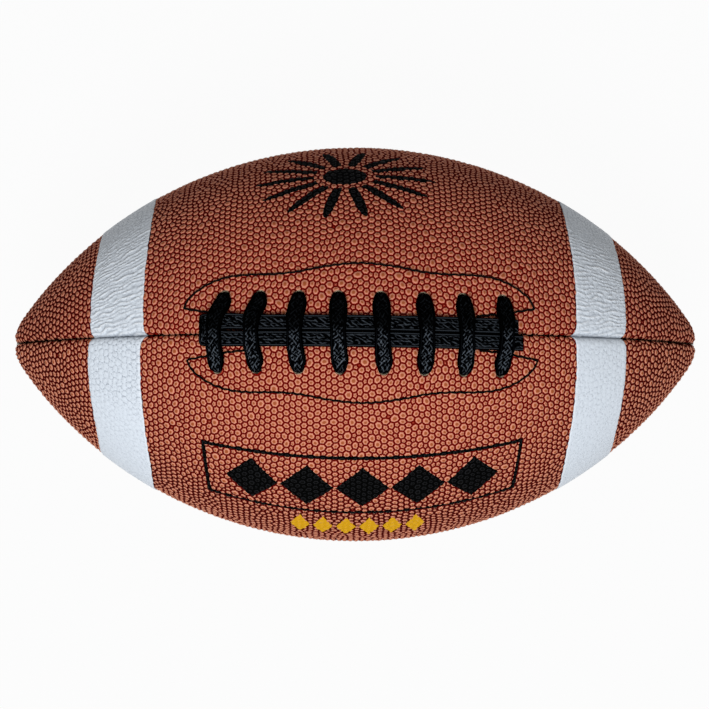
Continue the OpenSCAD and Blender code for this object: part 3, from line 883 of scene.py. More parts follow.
    def _walls(self, edge: np.ndarray, spots: np.ndarray, lift: np.ndarray, sewn: np.ndarray,
               holed: np.ndarray) -> tuple[list[np.ndarray], np.ndarray]:
        """Rings of points down the flanges, the ends and the holes.

        Args:
            edge: Points of the shell's upper edge.
            spots: The same points on the map.
            lift: Their lifts.
            sewn: Which of them lie on a sewn edge.
            holed: Which of them lie on a hole's rim.

        Returns:
            The rings, and the last ring on the map.
        """
        panel = self.panel
        spots = spots.copy()
        spots[holed] = panel.narrowed(spots[holed])
        tilt, turn = panel.tilt(spots[:, 0]), panel.turn(spots)
        radius = panel.radius(spots[:, 0])
        seam = np.round(turn / QUARTER) * QUARTER
        way = np.sign(turn - seam)
        fade = np.clip((radius - self.fade_from) / (self.fade_full - self.fade_from), 0, 1)
        deep = self.least_d + (self.flange_d - self.least_d) * fade
        in_slit = (np.abs(seam) < self.top_seam_turn) & (np.abs(BALL.profile(tilt)[0]) < self.slit_half)
        deep = np.where(in_slit, self.slit_d, deep)
        thick = np.minimum(self.flange_side, radius * EIGHTH * self.flange_side_share)
        foot = np.where(sewn, -BALL.valley_d - deep, -BALL.cover_t)

        def turn_at(off: np.ndarray | float, rise: np.ndarray | float) -> np.ndarray:
            """Turn of points at a distance from the seam's plane."""
            low = np.maximum(BALL.profile(tilt, rise)[1], self.least_r)
            return seam + way * np.arcsin(np.clip(off / low, -1, 1))

        deepest = BALL.point(tilt, turn_at(panel.edge_gap, foot), foot)
        flange = [edge + (deepest - edge) * self.first_share, deepest,
                  BALL.point(tilt, turn_at(thick, foot), foot),
                  BALL.point(tilt, turn_at(thick, -BALL.cover_t), -BALL.cover_t)]
        wall = [BALL.point(tilt, turn, lift - self.first_d)]
        wall += [BALL.point(tilt, turn, -BALL.cover_t * share) for share in self.wall_shares]
        spots[sewn, 1] = (turn_at(thick, -BALL.cover_t) - panel.side.middle)[sewn]
        return [np.where(sewn[:, None], a, b) for a, b in zip(flange, wall)], spots

    def _inside(self, ring: np.ndarray, edges: list[tuple[int, int]]) -> tuple[np.ndarray, list]:
        """Fills the inside with plain triangles.

        Args:
            ring: Edge of the inside, on the map.
            edges: Pairs of its points.

        Returns:
            The edge's points and the new ones on the map, and the triangles.
        """
        step, panel = self.inner_step, self.panel
        ends = np.interp([ring[:, 0].min(), ring[:, 0].max()], panel.places, panel.arcs)
        rows = []
        for arc in np.arange(ends[0] + step / 2, ends[1], step):
            place, radius = panel.row(arc)
            across = np.arange(-EIGHTH * radius, EIGHTH * radius, step)
            rows.append(np.stack([np.full(len(across), place), across / radius], 1))
        grid = np.concatenate(rows)
        free = panel.off(grid) > self.flange_side + self.flange_clear
        for cut in panel.cuts:
            free &= cut.level(grid) > 0
        gap = self.inner_clear_share * step / panel.radius(grid[:, 0])
        for start in range(0, len(ring), self.batch):
            part = ring[start:start + self.batch]
            apart = np.hypot(grid[:, None, 0] - part[None, :, 0], grid[:, None, 1] - part[None, :, 1])
            free &= apart.min(1) > gap
        every = np.concatenate([ring, grid[free]])
        _, _, found, origins, *_ = delaunay_2d_cdt([Vector(p) for p in every.tolist()], edges, [], 0,
                                                   self.inner_join_gap)
        first = [min(o) if o else -1 for o in origins]
        triangles = [tuple(first[v] for v in f) for f in found]
        return every, self._reached(triangles, {frozenset(e) for e in edges}, len(ring))

    @staticmethod
    def _reached(triangles: list[tuple], walls: set[frozenset], rim: int) -> list[tuple]:
        """Triangles that can be reached from the middle without crossing an edge.

        Args:
            triangles: All the triangles.
            walls: Pairs of points that no step crosses.
            rim: Number of points on the edge, which come first.

        Returns:
            The triangles reached.
        """
        sides = [[frozenset((t[k], t[(k + 1) % 3])) for k in range(3)] for t in triangles]
        beside: dict[frozenset, list[int]] = {}
        for i, edges in enumerate(sides):
            for edge in edges:
                beside.setdefault(edge, []).append(i)
        start = next(i for i, t in enumerate(triangles) if min(t) >= rim)
        found, queue = {start}, [start]
        while queue:
            for edge in sides[queue.pop()]:
                others = [] if edge in walls else [i for i in beside[edge] if i not in found]
                found.update(others)
                queue += others
        return [triangles[i] for i in sorted(found)]


@dataclass
class CoverPanel:
    """One of the four sewn panels of the cover, with its grain."""

    side: Side
    node: str
    seed: int
    holes: list[Hole]

    def __post_init__(self) -> None:
        """Lays out the panel's grain."""
        self.map = PanelMap(self.side, self.holes)
        self.pattern = PebblePattern(PebbleGrain(), self.map, self.seed)

    def build(self, material: bpy.types.Material) -> bpy.types.Object:
        """Builds the panel and gives it its finish."""
        obj = CoverShell(self.pattern).build(f"{self.node}.pebbled")
        return put_on_ball(obj, self.node, material)


@dataclass
class StripeFilm:
    """A white film over the grain of a lace panel, between two distances from the middle."""

    near: float
    far: float
    pull: float
    creased: float
    drift: float
    netted: float
    netted_low: float
    net_fade_deg: tuple = (24.0, 34.0, 48.0, 62.0)
    faint_share: float = 0.35
    drift_from_deg: float = 12.0
    drift_to_deg: float = 64.0
    pull_reach: float = 1.6
    wander: float = 0.3
    wander_mm: float = 1.8
    step: float = 0.31
    top: float = 0.2
    under: float = 0.12
    groove_d: float = 0.25
    groove_w: float = 0.3
    dome: float = 0.08
    dome_reach: float = 1.2
    crease_h: float = 0.38
    crease_mm: float = 1.6
    crease_w: float = 0.15
    crease_slant: float = -0.16
    crease_fade_deg: tuple = (44.0, 60.0)
    crease_left_share: float = 0.12
    crease_flat_share: float = 0.7
    wave_mm: tuple = (5.0, 3.2)
    wave_h: float = 1.3
    break_mm: tuple = (3.5, 1.4)
    break_more: float = 1.3
    whole_share: float = 0.75
    below_at_share: float = 0.76
    below_w: float = 0.24
    below_dark: float = 0.75
    upper_start: float = 0.35
    shade_least: float = 0.15
    carve_least: float = 0.3
    border_in: float = 0.25
    border_w: float = 0.14
    border_h: float = 0.03
    border_crest: float = 0.3
    edge_soft: float = 0.3
    edge_drop_share: float = 0.5
    seam_shade_reach: float = 0.8

    def _ends(self, chart: PanelMap, sign: int, turns: np.ndarray) -> tuple[np.ndarray, np.ndarray]:
        """The film's two edges, drawn towards the middle where the panel turns down into the seam.

        Args:
            chart: Map of the panel.
            sign: 1 at the right end and -1 at the left.
            turns: Turns from the panel's middle.

        Returns:
            Places on the map of the near and the far edge, one for each turn.
        """
        angle = np.degrees(np.abs(turns + chart.side.middle))
        share = np.clip((angle - self.drift_from_deg) / (self.drift_to_deg - self.drift_from_deg), 0, 1)
        found = []
        for distance in (self.near, self.far):
            base = chart.place_of(sign * math.asin(distance / BALL.side_r))
            radius = float(chart.radius(base))
            uneven = np.array([noise.noise(Vector((t * radius / self.wander_mm, distance, 2.5))) for t in turns])
            pull = self.pull * np.exp(-(EIGHTH - np.abs(turns)) * radius / self.pull_reach)
            found.append(base + (self.wander * uneven - sign * (pull + self.drift * smooth(share))) / radius)
        return found[0], found[1]

    def _relief(self, panel: CoverPanel, spots: np.ndarray,
                radius: float) -> tuple[np.ndarray, np.ndarray, np.ndarray]:
        """Height of the film over the grain, with creases along the ball.

        Args:
            panel: Panel under the film.
            spots: Points on the map.
            radius: Radius of the ball at the film's middle.

        Returns:
            Heights, how much each point is on a crease, and how much painted shade it gets on a pebble's upper
            rim and under a crease.
        """
        seeds = np.array([cell.outline.mean(0) for cell in panel.pattern.cells]) * radius
        tree = KDTree(len(seeds))
        for i, seed in enumerate(seeds.tolist()):
            tree.insert((*seed, 0), i)
        tree.balance()
        angle = np.degrees(np.abs(panel.map.turn(spots)))
        faint = self.faint_share * self.netted
        netted = np.interp(angle, self.net_fade_deg, (self.netted, faint, faint, self.netted_low))
        creased = self.creased * np.interp(angle, self.crease_fade_deg, (1, self.crease_left_share))
        rows = []
        for (x, y), net, crease in zip((spots * radius).tolist(), netted, creased):
            (_, first, d1), (_, second, d2) = tree.find_n((x, y, 0), 2)
            apart = float(np.hypot(*(seeds[first] - seeds[second])))
            groove = (1 - smooth(min((d2 * d2 - d1 * d1) / (2 * apart) / self.groove_w, 1.0))) * net
            upper = clamped(self.upper_start + (seeds[second][1] - seeds[first][1]) / apart)
            wave = self.wave_h * noise.noise(Vector((x / self.wave_mm[0], y / self.wave_mm[1], 1.7)))
            phase = (y + self.crease_slant * x + wave) / self.crease_mm % 1
            torn = noise.noise(Vector((x / self.break_mm[0], y / self.break_mm[1], 9.1)))
            whole = clamped(self.whole_share + self.break_more * torn) * crease
            crest = math.exp(-((phase - 0.5) * self.crease_mm / self.crease_w) ** 2) * whole
            # Painted shadow just under each crease.
            below = math.exp(-((phase - self.below_at_share) * self.crease_mm / self.below_w) ** 2) * whole
            # Painted shade on each pebble's upper rim, the side turned away from the lamp.
            dark = groove * (self.shade_least + (1 - self.shade_least) * upper)
            carved = self.groove_d * groove * (self.carve_least + (1 - self.carve_least) * upper)
            height = (self.dome * math.cos(min(d1, self.dome_reach))
                      - carved * (1 - self.crease_flat_share * crest) + self.crease_h * crest)
            rows.append((height, crest, max(dark, self.below_dark * below) * (1 - crest)))
        return tuple(np.array(rows).T)

    def build(self, panel: CoverPanel, left: bool, node: str, material: bpy.types.Material) -> bpy.types.Object:
        """Builds the film over the panel's grain.

        Args:
            panel: Panel that carries the film.
            left: Whether the film is at the left end.
            node: Construction node that it replaces.
            material: Its finish.

        Returns:
            The film's object.
        """
        chart = panel.map
        sign = -1 if left else 1
        middle = chart.place_of(sign * math.asin((self.near + self.far) / 2 / BALL.side_r))
        radius = float(chart.radius(middle))
        rows = int((self.far - self.near) / self.step) + 1
        columns = int(2 * EIGHTH * radius / self.step) + 1
        limit = float(chart.limit(middle))
        turns = np.linspace(-limit, limit, columns)
        near, far = self._ends(chart, sign, turns)
        share = np.linspace(0, 1, rows)[:, None]
        spots = np.stack([(near[None] * (1 - share) + far[None] * share).ravel(), np.tile(turns, rows)], 1)
        height, crest, dark = self._relief(panel, spots, radius)
        from_edge = np.repeat(np.minimum(share, 1 - share) * (self.far - self.near), columns)
        border = np.exp(-((from_edge - self.border_in) / self.border_w) ** 2)
        soft = 1 - np.exp(-(from_edge / self.edge_soft) ** 2) * self.edge_drop_share
        tilt, turn = chart.tilt(spots[:, 0]), chart.turn(spots)
        skin = BALL.skin(tilt, turn, (self.top + height) * soft + self.border_h * border)
        under = BALL.skin(tilt, turn, -self.under)
        obj = mesh_object(f"{node}.film", np.concatenate([skin, under]), self._faces(rows, columns, sign))
        # The crests and a band inside each edge get a painted highlight.
        store(obj, "crest", np.maximum(crest, self.border_crest * border))
        # The film's relief holds 1 less its painted shade.
        store(obj, "relief", 1 - dark)
        # Painted shade along the seam; the film's edges and underside are fully shaded.
        store(obj, "fold", np.exp(-((EIGHTH - np.abs(spots[:, 1])) * radius / self.seam_shade_reach) ** 2), rest=1.0)
        return put_on_ball(obj, node, material)

    @staticmethod
    def _faces(rows: int, columns: int, sign: int) -> list[tuple[int, ...]]:
        """Faces of a sheet of rows and columns of points, its copy below it, and its edge.

        Args:
            rows: Number of rows.
            columns: Number of points in a row.
            sign: 1 where the rows follow one another towards the right.

        Returns:
            The faces.
        """
        n = rows * columns
        faces = []
        for i in range(rows - 1):
            for a in range(i * columns, (i + 1) * columns - 1):
                quad = (a, a + 1, a + columns + 1, a + columns)
                faces += [quad, tuple(n + v for v in quad[::-1])]
        rim = [*range(columns), *range(2 * columns - 1, n, columns), *range(n - 2, n - columns - 1, -1),
               *range(n - 2 * columns, 0, -columns)]
        faces += [(b, a, a + n, b + n) for a, b in zip(rim, rim[1:] + rim[:1])]
        return [face[::-1] for face in faces] if sign > 0 else faces


@dataclass
class LaceStrap:
    """One flat strap: two strands along the seam, and cross stitches drawn over them into their holes."""

    back_holes: tuple = (-49.1, -35.9, -21.8, -7.7, 7.4, 22.7, 37.2, 52.4)
    front_holes: tuple = (-51.9, -37.3, -22.0, -7.1, 8.5, 23.1, 37.7, 51.6)
    middles: tuple = (-52.1, -38.5, -23.0, -7.7, 7.7, 23.4, 37.7, 52.6)
    hole_out: float = 12.7
    front_more: float = 0.8
    slant_mid: float = 0.38
    slant: float = -0.0126
    hole_r: float = 2.1
    hole_shift: float = -0.1
    entry_r: float = 1.9
    entry_in: float = 1.2
    width: float = 6.1
    back_w: float = 6.7
    middle_w: float = 5.5
    strand_w: float = 5.65
    strand_out: float = 2.85
    strand_rows: int = 24
    left_shift: float = 0.4
    left_from: float = 36.0
    left_span: float = 10.0
    drawn_w: float = 3.5
    drawn_w_share: float = 0.95
    thick: float = 1.7
    pressed: float = 1.4
    drawn: float = 2.5
    gap: float = 0.15
    front_end: float = 59.4
    entry: float = 57.6
    entry_narrower: float = 0.4
    turn_at: float = -52.6
    turn_in: float = 0.3
    turn_rows: int = 25
    turn_square: int = 8
    pinch_deg: float = 12.0
    pinch_share: float = 0.5
    bend_r: float = 1.9
    up_shares: tuple = (0, 0.33, 0.67, 1)
    over_shares: tuple = (0, 0.25, 0.5, 0.75, 1)
    climb_shares: tuple = ((0.3, 0.34, 0.42), (0.5, 0.95, 0.72), (0.75, 1, 0.93))
    inside_shares: tuple = (1 / 3, 2 / 3)
    run_top: float = 4.7
    entry_turn_r: float = 4.0
    entry_turn_deg: tuple = (30, 60, 90)
    tail: float = 9.0
    ring_step: float = 0.37
    probe: float = 0.5
    cap: float = 0.1
    top_sides: int = 34
    low_sides: int = 12
    corner_rows: int = 9
    edge_r: float = 0.5
    net_mm: float = 1.45
    net_h: float = 0.2
    net_w: float = 0.24
    net_slant: float = 0.62
    stitch_slant_more: float = 0.3
    strand_line_share: float = 0.72
    warp_mm: tuple = (2.5, 2.0)
    warp: tuple = (0.55, 0.45)
    warp_seed: int = 7
    break_rate: tuple = (0.8, 0.9)
    break_start: float = 0.6
    break_more: float = 1.7
    net_in: float = 0.85
    net_fade: float = 0.35
    border_h: float = 0.14
    border_in: float = 0.6
    border_w: float = 0.2
    border_crest: float = 0.8
    stitch_crest_less: float = 0.45
    # Painted highlight: its share on the strands and on the stitches' back halves, how it fades towards the
    # back, and how it fades near the front holes.
    strand_sheen: float = 0.5
    back_sheen: float = 0.08
    sheen_to: float = 2.2
    sheen_fade: float = 3.5
    hole_sheen: float = 0.25
    hole_sheen_in: float = 0.6
    hole_sheen_fade: float = 2.5

    def holes(self, back: bool) -> list[Hole]:
        """Holes of one panel, with the one where the back strand goes in."""
        side = 1 if back else -1
        spots = [(x, side * (self._out(side) - self.hole_shift) + self._slanted(x), self.hole_r)
                 for x in (self.back_holes if back else self.front_holes)]
        if back:
            spots.append((self.entry - self.entry_in, self.strand_out + self._slanted(self.entry), self.entry_r))
        tilts = [along / BALL.side_r for along, *_ in spots]
        return [Hole(tilt, across / float(BALL.profile(tilt)[1]), radius)
                for tilt, (_, across, radius) in zip(tilts, spots)]

    def _out(self, side: int) -> float:
        """Distance from the seam to the holes of one side."""
        return self.hole_out + (self.front_more if side < 0 else 0.0)

    def _slanted(self, along: float) -> float:
        """How far the lacing lies off the seam, towards the back, at a place along it."""
        return self.slant_mid + self.slant * along

    @property
    def low(self) -> float:
        """Rise of the strap's middle where it lies on the cover."""
        return self.gap + self.thick / 2

    @property
    def high(self) -> float:
        """Rise of its middle where it crosses the strands."""
        return self.low + self.thick + self.gap

    @property
    def run(self) -> float:
        """Rise of its middle inside the ball."""
        return -(self.run_top + self.pressed / 2)

    def _half(self, k: int, side: int) -> list:
        """Half a cross stitch, from the run inside to the seam.

        Args:
            k: Number of the stitch.
            side: 1 at the back and -1 at the front.

        Returns:
            Rows of along, across, rise, turn of the width in degrees, width and thickness.
        """
        r = self.bend_r
        out = self._out(side) - r
        along = (self.back_holes if side > 0 else self.front_holes)[k]
        rows = []
        for share in self.up_shares:
            a = QUARTER * (1 - share)
            rows.append([along, out + r * math.cos(a), r + self.run - r * math.sin(a), 0,
                         self.width + (self.drawn_w - self.width) * share,
                         self.pressed + (self.drawn - self.pressed) * share])
        for share in self.over_shares:
            a = QUARTER * share
            rows.append([along, out + r * math.cos(a), self.low - r + r * math.sin(a), 0,
                         self.drawn_w + (self.width * self.drawn_w_share - self.drawn_w) * share,
                         self.drawn + (self.thick - self.drawn) * share])
        wide = self.back_w if side > 0 else self.width
        for way, climb, shift in self.climb_shares:
            rows.append([along + (self.middles[k] - along) * shift, out * (1 - way),
                         self.low + (self.high - self.low) * climb, 0,
                         wide + (self.middle_w - wide) * way ** 2, self.thick])
        return [[x, side * y, *others] for x, y, *others in rows]

    def _strand(self, start: float, stop: float, side: int) -> list:
        """One strand along the seam, from one place to another."""
        rows = []
        for x in np.linspace(start, stop, self.strand_rows):
            shift = self.left_shift * clamped((-x - self.left_from) / self.left_span) if side > 0 else 0
            rows.append([x, side * self.strand_out + shift, self.low, -90 * side, self.strand_w + shift / 2,
                         self.thick])
        return rows

    def _turn(self) -> list:
        """The turn between the two strands, nearly square outside and pinched in its middle."""
        rows = []
        for deg in np.linspace(0, 180, self.turn_rows)[1:-1]:
            s, c = math.sin(math.radians(deg)), math.cos(math.radians(deg))
            pinch = max(0.0, 1 - abs(deg - 90) / self.pinch_deg)
            square = (s ** self.turn_square + c ** self.turn_square) ** (1 / self.turn_square)
            reach = (self.strand_out + self.strand_w / 2) / square
            centre = (reach + self.turn_in) / 2
            rows.append([self.turn_at - centre * s, -centre * c + self.left_shift * deg / 180, self.low,
                         90 - deg, reach - self.turn_in, self.thick * (1 - self.pinch_share * pinch)])
        return rows

    def _entry(self) -> list:
        """The back strand's way in through its hole, and its turn inside towards the stitches."""
        r, out, bends = self.bend_r, self.strand_out, np.radians(self.entry_turn_deg)
        rows = [[self.entry - r + r * math.sin(a), out, self.low - r + r * math.cos(a), -90,
                 self.strand_w - self.entry_narrower, self.thick] for a in bends]
        rows += [[self.entry - r + r * math.cos(a), out, r + self.run - r * math.sin(a), -90,
                  self.drawn_w, self.pressed] for a in bends]
        start = self.entry - r - self.thick / 2
        rows += [[start - self.entry_turn_r * math.sin(a), out - self.entry_turn_r * (1 - math.cos(a)), self.run,
                  math.degrees(a) - 90, self.drawn_w, self.pressed] for a in bends]
        return rows

    def _route(self) -> np.ndarray:
        """Route of the strap: front strand, turn, back strand, entry, cross stitches and tail."""
        rows = self._strand(self.front_end, self.turn_at, -1) + self._turn()
        rows += self._strand(self.turn_at, self.entry - self.bend_r - self.thick, 1) + self._entry()
        inner = self.hole_out - self.bend_r
        for k in range(len(self.middles) - 1, -1, -1):
            rows += self._half(k, -1)
            rows.append([self.middles[k], 0, self.high, 0, self.middle_w, self.thick])
            rows += self._half(k, 1)[::-1]
            for share in self.inside_shares if k else ():
                rows.append([self.back_holes[k] * (1 - share) + self.front_holes[k - 1] * share,
                             inner * (1 - 2 * share), self.run, 0, self.width, self.pressed])
        rows.append([self.back_holes[0], inner - self.tail, self.run, 0, self.width, self.pressed])
        route = np.array(rows, float)
        route[:, 1] += self._slanted(route[:, 0])
        return route

    def _sampled(self, rows: np.ndarray) -> np.ndarray:
        """Follows the route smoothly, with a ring at every step."""
        length = along_path(BALL.on_side(rows[:, 0], rows[:, 1], rows[:, 2]))
        want = np.linspace(0, length[-1], int(length[-1] / self.ring_step))
        slope = np.gradient(rows, length, axis=0)
        i = np.clip(np.searchsorted(length, want, "right") - 1, 0, len(rows) - 2)
        span = (length[i + 1] - length[i])[:, None]
        t = (want - length[i])[:, None] / span
        return ((2 * t ** 3 - 3 * t ** 2 + 1) * rows[i] + (t ** 3 - 2 * t ** 2 + t) * span * slope[i]
                + (3 * t ** 2 - 2 * t ** 3) * rows[i + 1] + (t ** 3 - t ** 2) * span * slope[i + 1])

    def _section(self) -> tuple[np.ndarray, np.ndarray]:
        """Section of the strap with rounded edges.

        Returns:
            Points in shares of the full width and thickness, and the way out at each.
        """
        x, y, r = self.width / 2 - self.edge_r, self.thick / 2 - self.edge_r, self.edge_r
        path = []
        for cx, cy, start in ((x, y, 0), (-x, y, 90), (-x, -y, 180), (x, -y, 270)):
            bend = np.radians(np.linspace(start, start + 90, self.corner_rows))
            path += [(cx + r * math.cos(a), cy + r * math.sin(a)) for a in bend]
        path = np.array(path + path[:1])
        length = along_path(path)
        half = 2 * self.corner_rows
        want = np.concatenate([np.linspace(0, length[half], self.top_sides, endpoint=False),
                               np.linspace(length[half], length[-1], self.low_sides, endpoint=False)])
        ring = np.stack([np.interp(want, length, path[:, 0]), np.interp(want, length, path[:, 1])], 1)
        way = np.roll(ring, -1, 0) - np.roll(ring, 1, 0)
        return ring / [self.width, self.thick], unit(np.stack([way[:, 1], -way[:, 0]], 1))

    def _relief(self, length: float, across: float, width: float, stitch: float) -> tuple[float, float]:
        """Raised lattice of the strap's skin, with a raised line along each border.

        Args:
            length: Distance along the strap.
            across: Distance from its middle line.
            width: Its width there.
            stitch: 1 on a cross stitch, and 0 on a strand, where the lines lie along the strap.

        Returns:
            Height, and how much the place is on a ridge.
        """
        moved = noise.noise_vector(Vector((length / self.warp_mm[0], across / self.warp_mm[1], 3.0)))
        x, y = length + self.warp[0] * moved.x, across + self.warp[1] * moved.y
        steep = self.net_slant + self.stitch_slant_more * stitch
        ridge = 0.0
        for way in (1, -1):
            phase = (y + way * x * steep) / self.net_mm
            if stitch <= 0.5 and way < 0:
                phase = y / (self.strand_line_share * self.net_mm)
            near = (phase % 1 - 0.5) * self.net_mm / self.net_w
            spot = Vector((x * self.break_rate[0] + 9 * way, y * self.break_rate[1], 7.0 * way))
            broken = noise.noise(spot)
            ridge = max(ridge, math.exp(-near * near) * clamped(self.break_start + self.break_more * broken))
        from_edge = width / 2 - abs(across)
        border = math.exp(-((from_edge - self.border_in) / self.border_w) ** 2)
        ridge *= clamped((from_edge - self.net_in) / self.net_fade)
        # The raised border lines share the ridges' painted highlight.
        crest = (self.border_crest - self.stitch_crest_less * stitch) * border
        return self.net_h * ridge + self.border_h * border, min(ridge + crest, 1.0)

    def _painted_sheen(self, rows: np.ndarray) -> np.ndarray:
        """How much painted highlight and gloss each place gets: the front halves of the stitches, which face the
        lamp, most, and their back halves hardly.
        """
        from_hole = self._out(-1) + self.hole_sheen_in + rows[:, 1]
        front = (np.clip((self.sheen_to - rows[:, 1]) / self.sheen_fade, 0, 1)
                 * np.clip(from_hole / self.hole_sheen_fade, self.hole_sheen, 1))
        stitched = self.back_sheen + (1 - self.back_sheen) * front
        return np.where(np.abs(rows[:, 3]) > 45, self.strand_sheen, stitched)

    def _axes(self, rows: np.ndarray, centre: np.ndarray) -> tuple[np.ndarray, np.ndarray, np.ndarray]:
        """Ways along, across and through the strap at each ring.

        Args:
            rows: Rows of the route.
            centre: Their points.

        Returns:
            The three ways, one row for each ring.
        """
        way = unit(np.gradient(centre, axis=0))
        turn = np.radians(rows[:, 3])[:, None]
        wide = ((BALL.on_side(rows[:, 0] + self.probe, rows[:, 1], rows[:, 2]) - centre) * np.cos(turn)
                + (BALL.on_side(rows[:, 0], rows[:, 1] + self.probe, rows[:, 2]) - centre) * np.sin(turn))
        through = unit(np.cross(wide, way))
        turned = np.abs(rows[:, 3:4]) > 1
        return way, np.where(turned, -unit(wide), np.cross(through, way)), through

    def build(self, material: bpy.types.Material) -> bpy.types.Object:
        """Builds the strap with its netted skin."""
        noise.seed_set(self.warp_seed)
        rows = self._sampled(self._route())
        centre = BALL.on_side(rows[:, 0], rows[:, 1], rows[:, 2])
        way, across, through = self._axes(rows, centre)
        length = along_path(centre)
        ring, out = self._section()
        n = len(ring)
        wide_at = ring[None, :, 0] * rows[:, 4:5]
        points = (centre[:, None] + across[:, None] * wide_at[:, :, None]
                  + through[:, None] * (ring[None, :, 1:2] * rows[:, None, 5:6]))
        normal = across[:, None] * out[None, :, 0:1] + through[:, None] * out[None, :, 1:2]
        height = np.zeros((len(rows), n))
        ridge = np.zeros((len(rows), n))
        stitch = np.clip(1 - np.abs(rows[:, 3]) / 90, 0, 1)
        for i in range(len(rows)):
            for k in range(self.top_sides):
                height[i, k], ridge[i, k] = self._relief(length[i], wide_at[i, k], rows[i, 4], stitch[i])
        skin = (points + normal * height[:, :, None]).reshape(-1, 3)
        last = len(skin) - n
        faces = tube_faces(len(rows), n)
        faces += [(len(skin), (k + 1) % n, k) for k in range(n)]
        faces += [(len(skin) + 1, last + k, last + (k + 1) % n) for k in range(n)]
        caps = [centre[:1] - way[:1] * self.cap, centre[-1:] + way[-1:] * self.cap]
        obj = mesh_object("lace.strap", np.concatenate([skin] + caps), faces)
        store(obj, "ridge", ridge.ravel())
        # Painted highlight, strongest on the stitches' front halves, which face the lamp.
        store(obj, "sheen", np.repeat(self._painted_sheen(rows), n))
        store(obj, "strap", np.stack([np.repeat(length, n), wide_at.ravel(), np.tile(ring[:, 1], len(rows))], 1))
        return put_on_ball(obj, "lace", material)


@dataclass
class FacingStitches:
    """The thread line that sews a facing to a lace panel."""

    half_len: float = 63.0
    rise: float = 24.9
    thread_d: float = 0.74
    front_shift: float = 1.2
    wobble: float = 0.12
    wobble_rate: float = 1.9
    stitch: float = 3.2
    dip: float = 0.2
    dip_from_share: float = 0.8
    pinch_from_share: float = 0.85
    pinch_share: float = 0.25
    lift: float = 0.12
    ring_step: float = 0.35
    sides: int = 8
    curve_rows: int = 12
    end_shares: tuple = ((0.66, 0.245), (0.78, 0.275), (0.9, 0.325))
    crown_shares: tuple = ((1, 0.37), (0.965, 0.53), (0.87, 0.705), (0.755, 0.81), (0.63, 0.842), (0.5, 0.845),
                           (0.36, 0.875), (0.19, 0.955), (0, 1))

    def _line(self) -> np.ndarray:
        """Plan of the line, from one inner end to the other, in even steps."""
        full = [np.array(p) for p in self.crown_shares]
        full += [p * (-1, 1) for p in full[-2::-1]]
        curve = []
        for i in range(len(full) - 1):
            a, b, c, d = (full[min(max(k, 0), len(full) - 1)] for k in range(i - 1, i + 3))
            for t in np.linspace(0, 1, self.curve_rows, endpoint=False):
                curve.append(b + (c - a) / 2 * t + (a - 2.5 * b + 2 * c - d / 2) * t ** 2
                             + (1.5 * b - a / 2 - 1.5 * c + d / 2) * t ** 3)
        ends = [(-x, y) for x, y in self.end_shares[::-1]]
        whole = np.array([*self.end_shares, *curve, full[-1], *ends]) * (self.half_len, self.rise)
        length = along_path(whole)
        want = np.linspace(0, length[-1], int(length[-1] / self.ring_step))
        return np.stack([np.interp(want, length, whole[:, 0]), np.interp(want, length, whole[:, 1])], 1)

    def build(self, front: bool, node: str, material: bpy.types.Material) -> bpy.types.Object:
        """Builds the line of stitches on one panel."""
        plan = self._line()
        plan[:, 0] += self.front_shift if front else 0.0
        plan[:, 1] += self.wobble * np.sin(plan[:, 0] * self.wobble_rate)
        tilt = np.arcsin(plan[:, 0] / BALL.side_r)
        turn = (-1 if front else 1) * np.arcsin(plan[:, 1] / BALL.profile(tilt)[1])
        phase = np.abs(np.arange(len(plan)) * self.ring_step / self.stitch % 1 - 0.5) * 2
        dip = np.clip((phase - self.dip_from_share) / (1 - self.dip_from_share), 0, 1) ** 2
        lift = self.lift - self.dip * dip
        centre = BALL.skin(tilt, turn, lift)
        way = unit(np.gradient(centre, axis=0))
        side = unit(np.cross(way, BALL.skin(tilt, turn, lift + 1) - centre))
        up = np.cross(side, way)
        pinch = np.clip((phase - self.pinch_from_share) / (1 - self.pinch_from_share), 0, 1)
        size = self.thread_d / 2 * (1 - self.pinch_share * pinch)
        angle = 2 * math.pi * np.arange(self.sides) / self.sides
        points = centre[:, None] + size[:, None, None] * (side[:, None] * np.cos(angle)[None, :, None]
                                                          + up[:, None] * np.sin(angle)[None, :, None])
        faces = [(a, d, c, b) for a, b, c, d in tube_faces(len(centre), self.sides)]
        last = (len(centre) - 1) * self.sides
        faces += [tuple(range(self.sides)), tuple(range(last + self.sides - 1, last - 1, -1))]
        obj = mesh_object(f"{node}.stitches", points.reshape(-1, 3), faces)
        return put_on_ball(obj, node, material)


@dataclass(frozen=True)
class LozengeRow:
    """A row of printed lozenges along the ball. Its sums are named after it."""

    name: str
    turn_deg: float
    middle: float
    period: float
    half_w: float
    half_h: float
    count: int

    def steps(self) -> Steps:
        """Sums that are 1 inside the row's lozenges, from the steps along, turn and degree_mm."""
        n = self.name
        return {
            f"{n}_turn": ("SUBTRACT", "turn", self.turn_deg),
            f"{n}_down": ("MULTIPLY", f"{n}_turn", "degree_mm"),
            f"{n}_side": ("SUBTRACT", "along", self.middle),
            f"{n}_shifted": ("ADD", f"{n}_side", 0.0 if self.count % 2 else self.period / 2),
            f"{n}_near": ("WRAP", f"{n}_shifted", self.period / 2, -self.period / 2),
            f"{n}_wide": ("ABSOLUTE", f"{n}_near"),
            f"{n}_high": ("ABSOLUTE", f"{n}_down"),
            f"{n}_wide_share": ("DIVIDE", f"{n}_wide", self.half_w),
            f"{n}_high_share": ("DIVIDE", f"{n}_high", self.half_h),
            f"{n}_share": ("ADD", f"{n}_wide_share", f"{n}_high_share"),
            f"{n}_inside": ("LESS_THAN", f"{n}_share", 1.0),
            f"{n}_far": ("ABSOLUTE", f"{n}_side"),
            f"{n}_counted": ("LESS_THAN", f"{n}_far", self.period * self.count / 2),
            n: ("MULTIPLY", f"{n}_inside", f"{n}_counted"),
        }


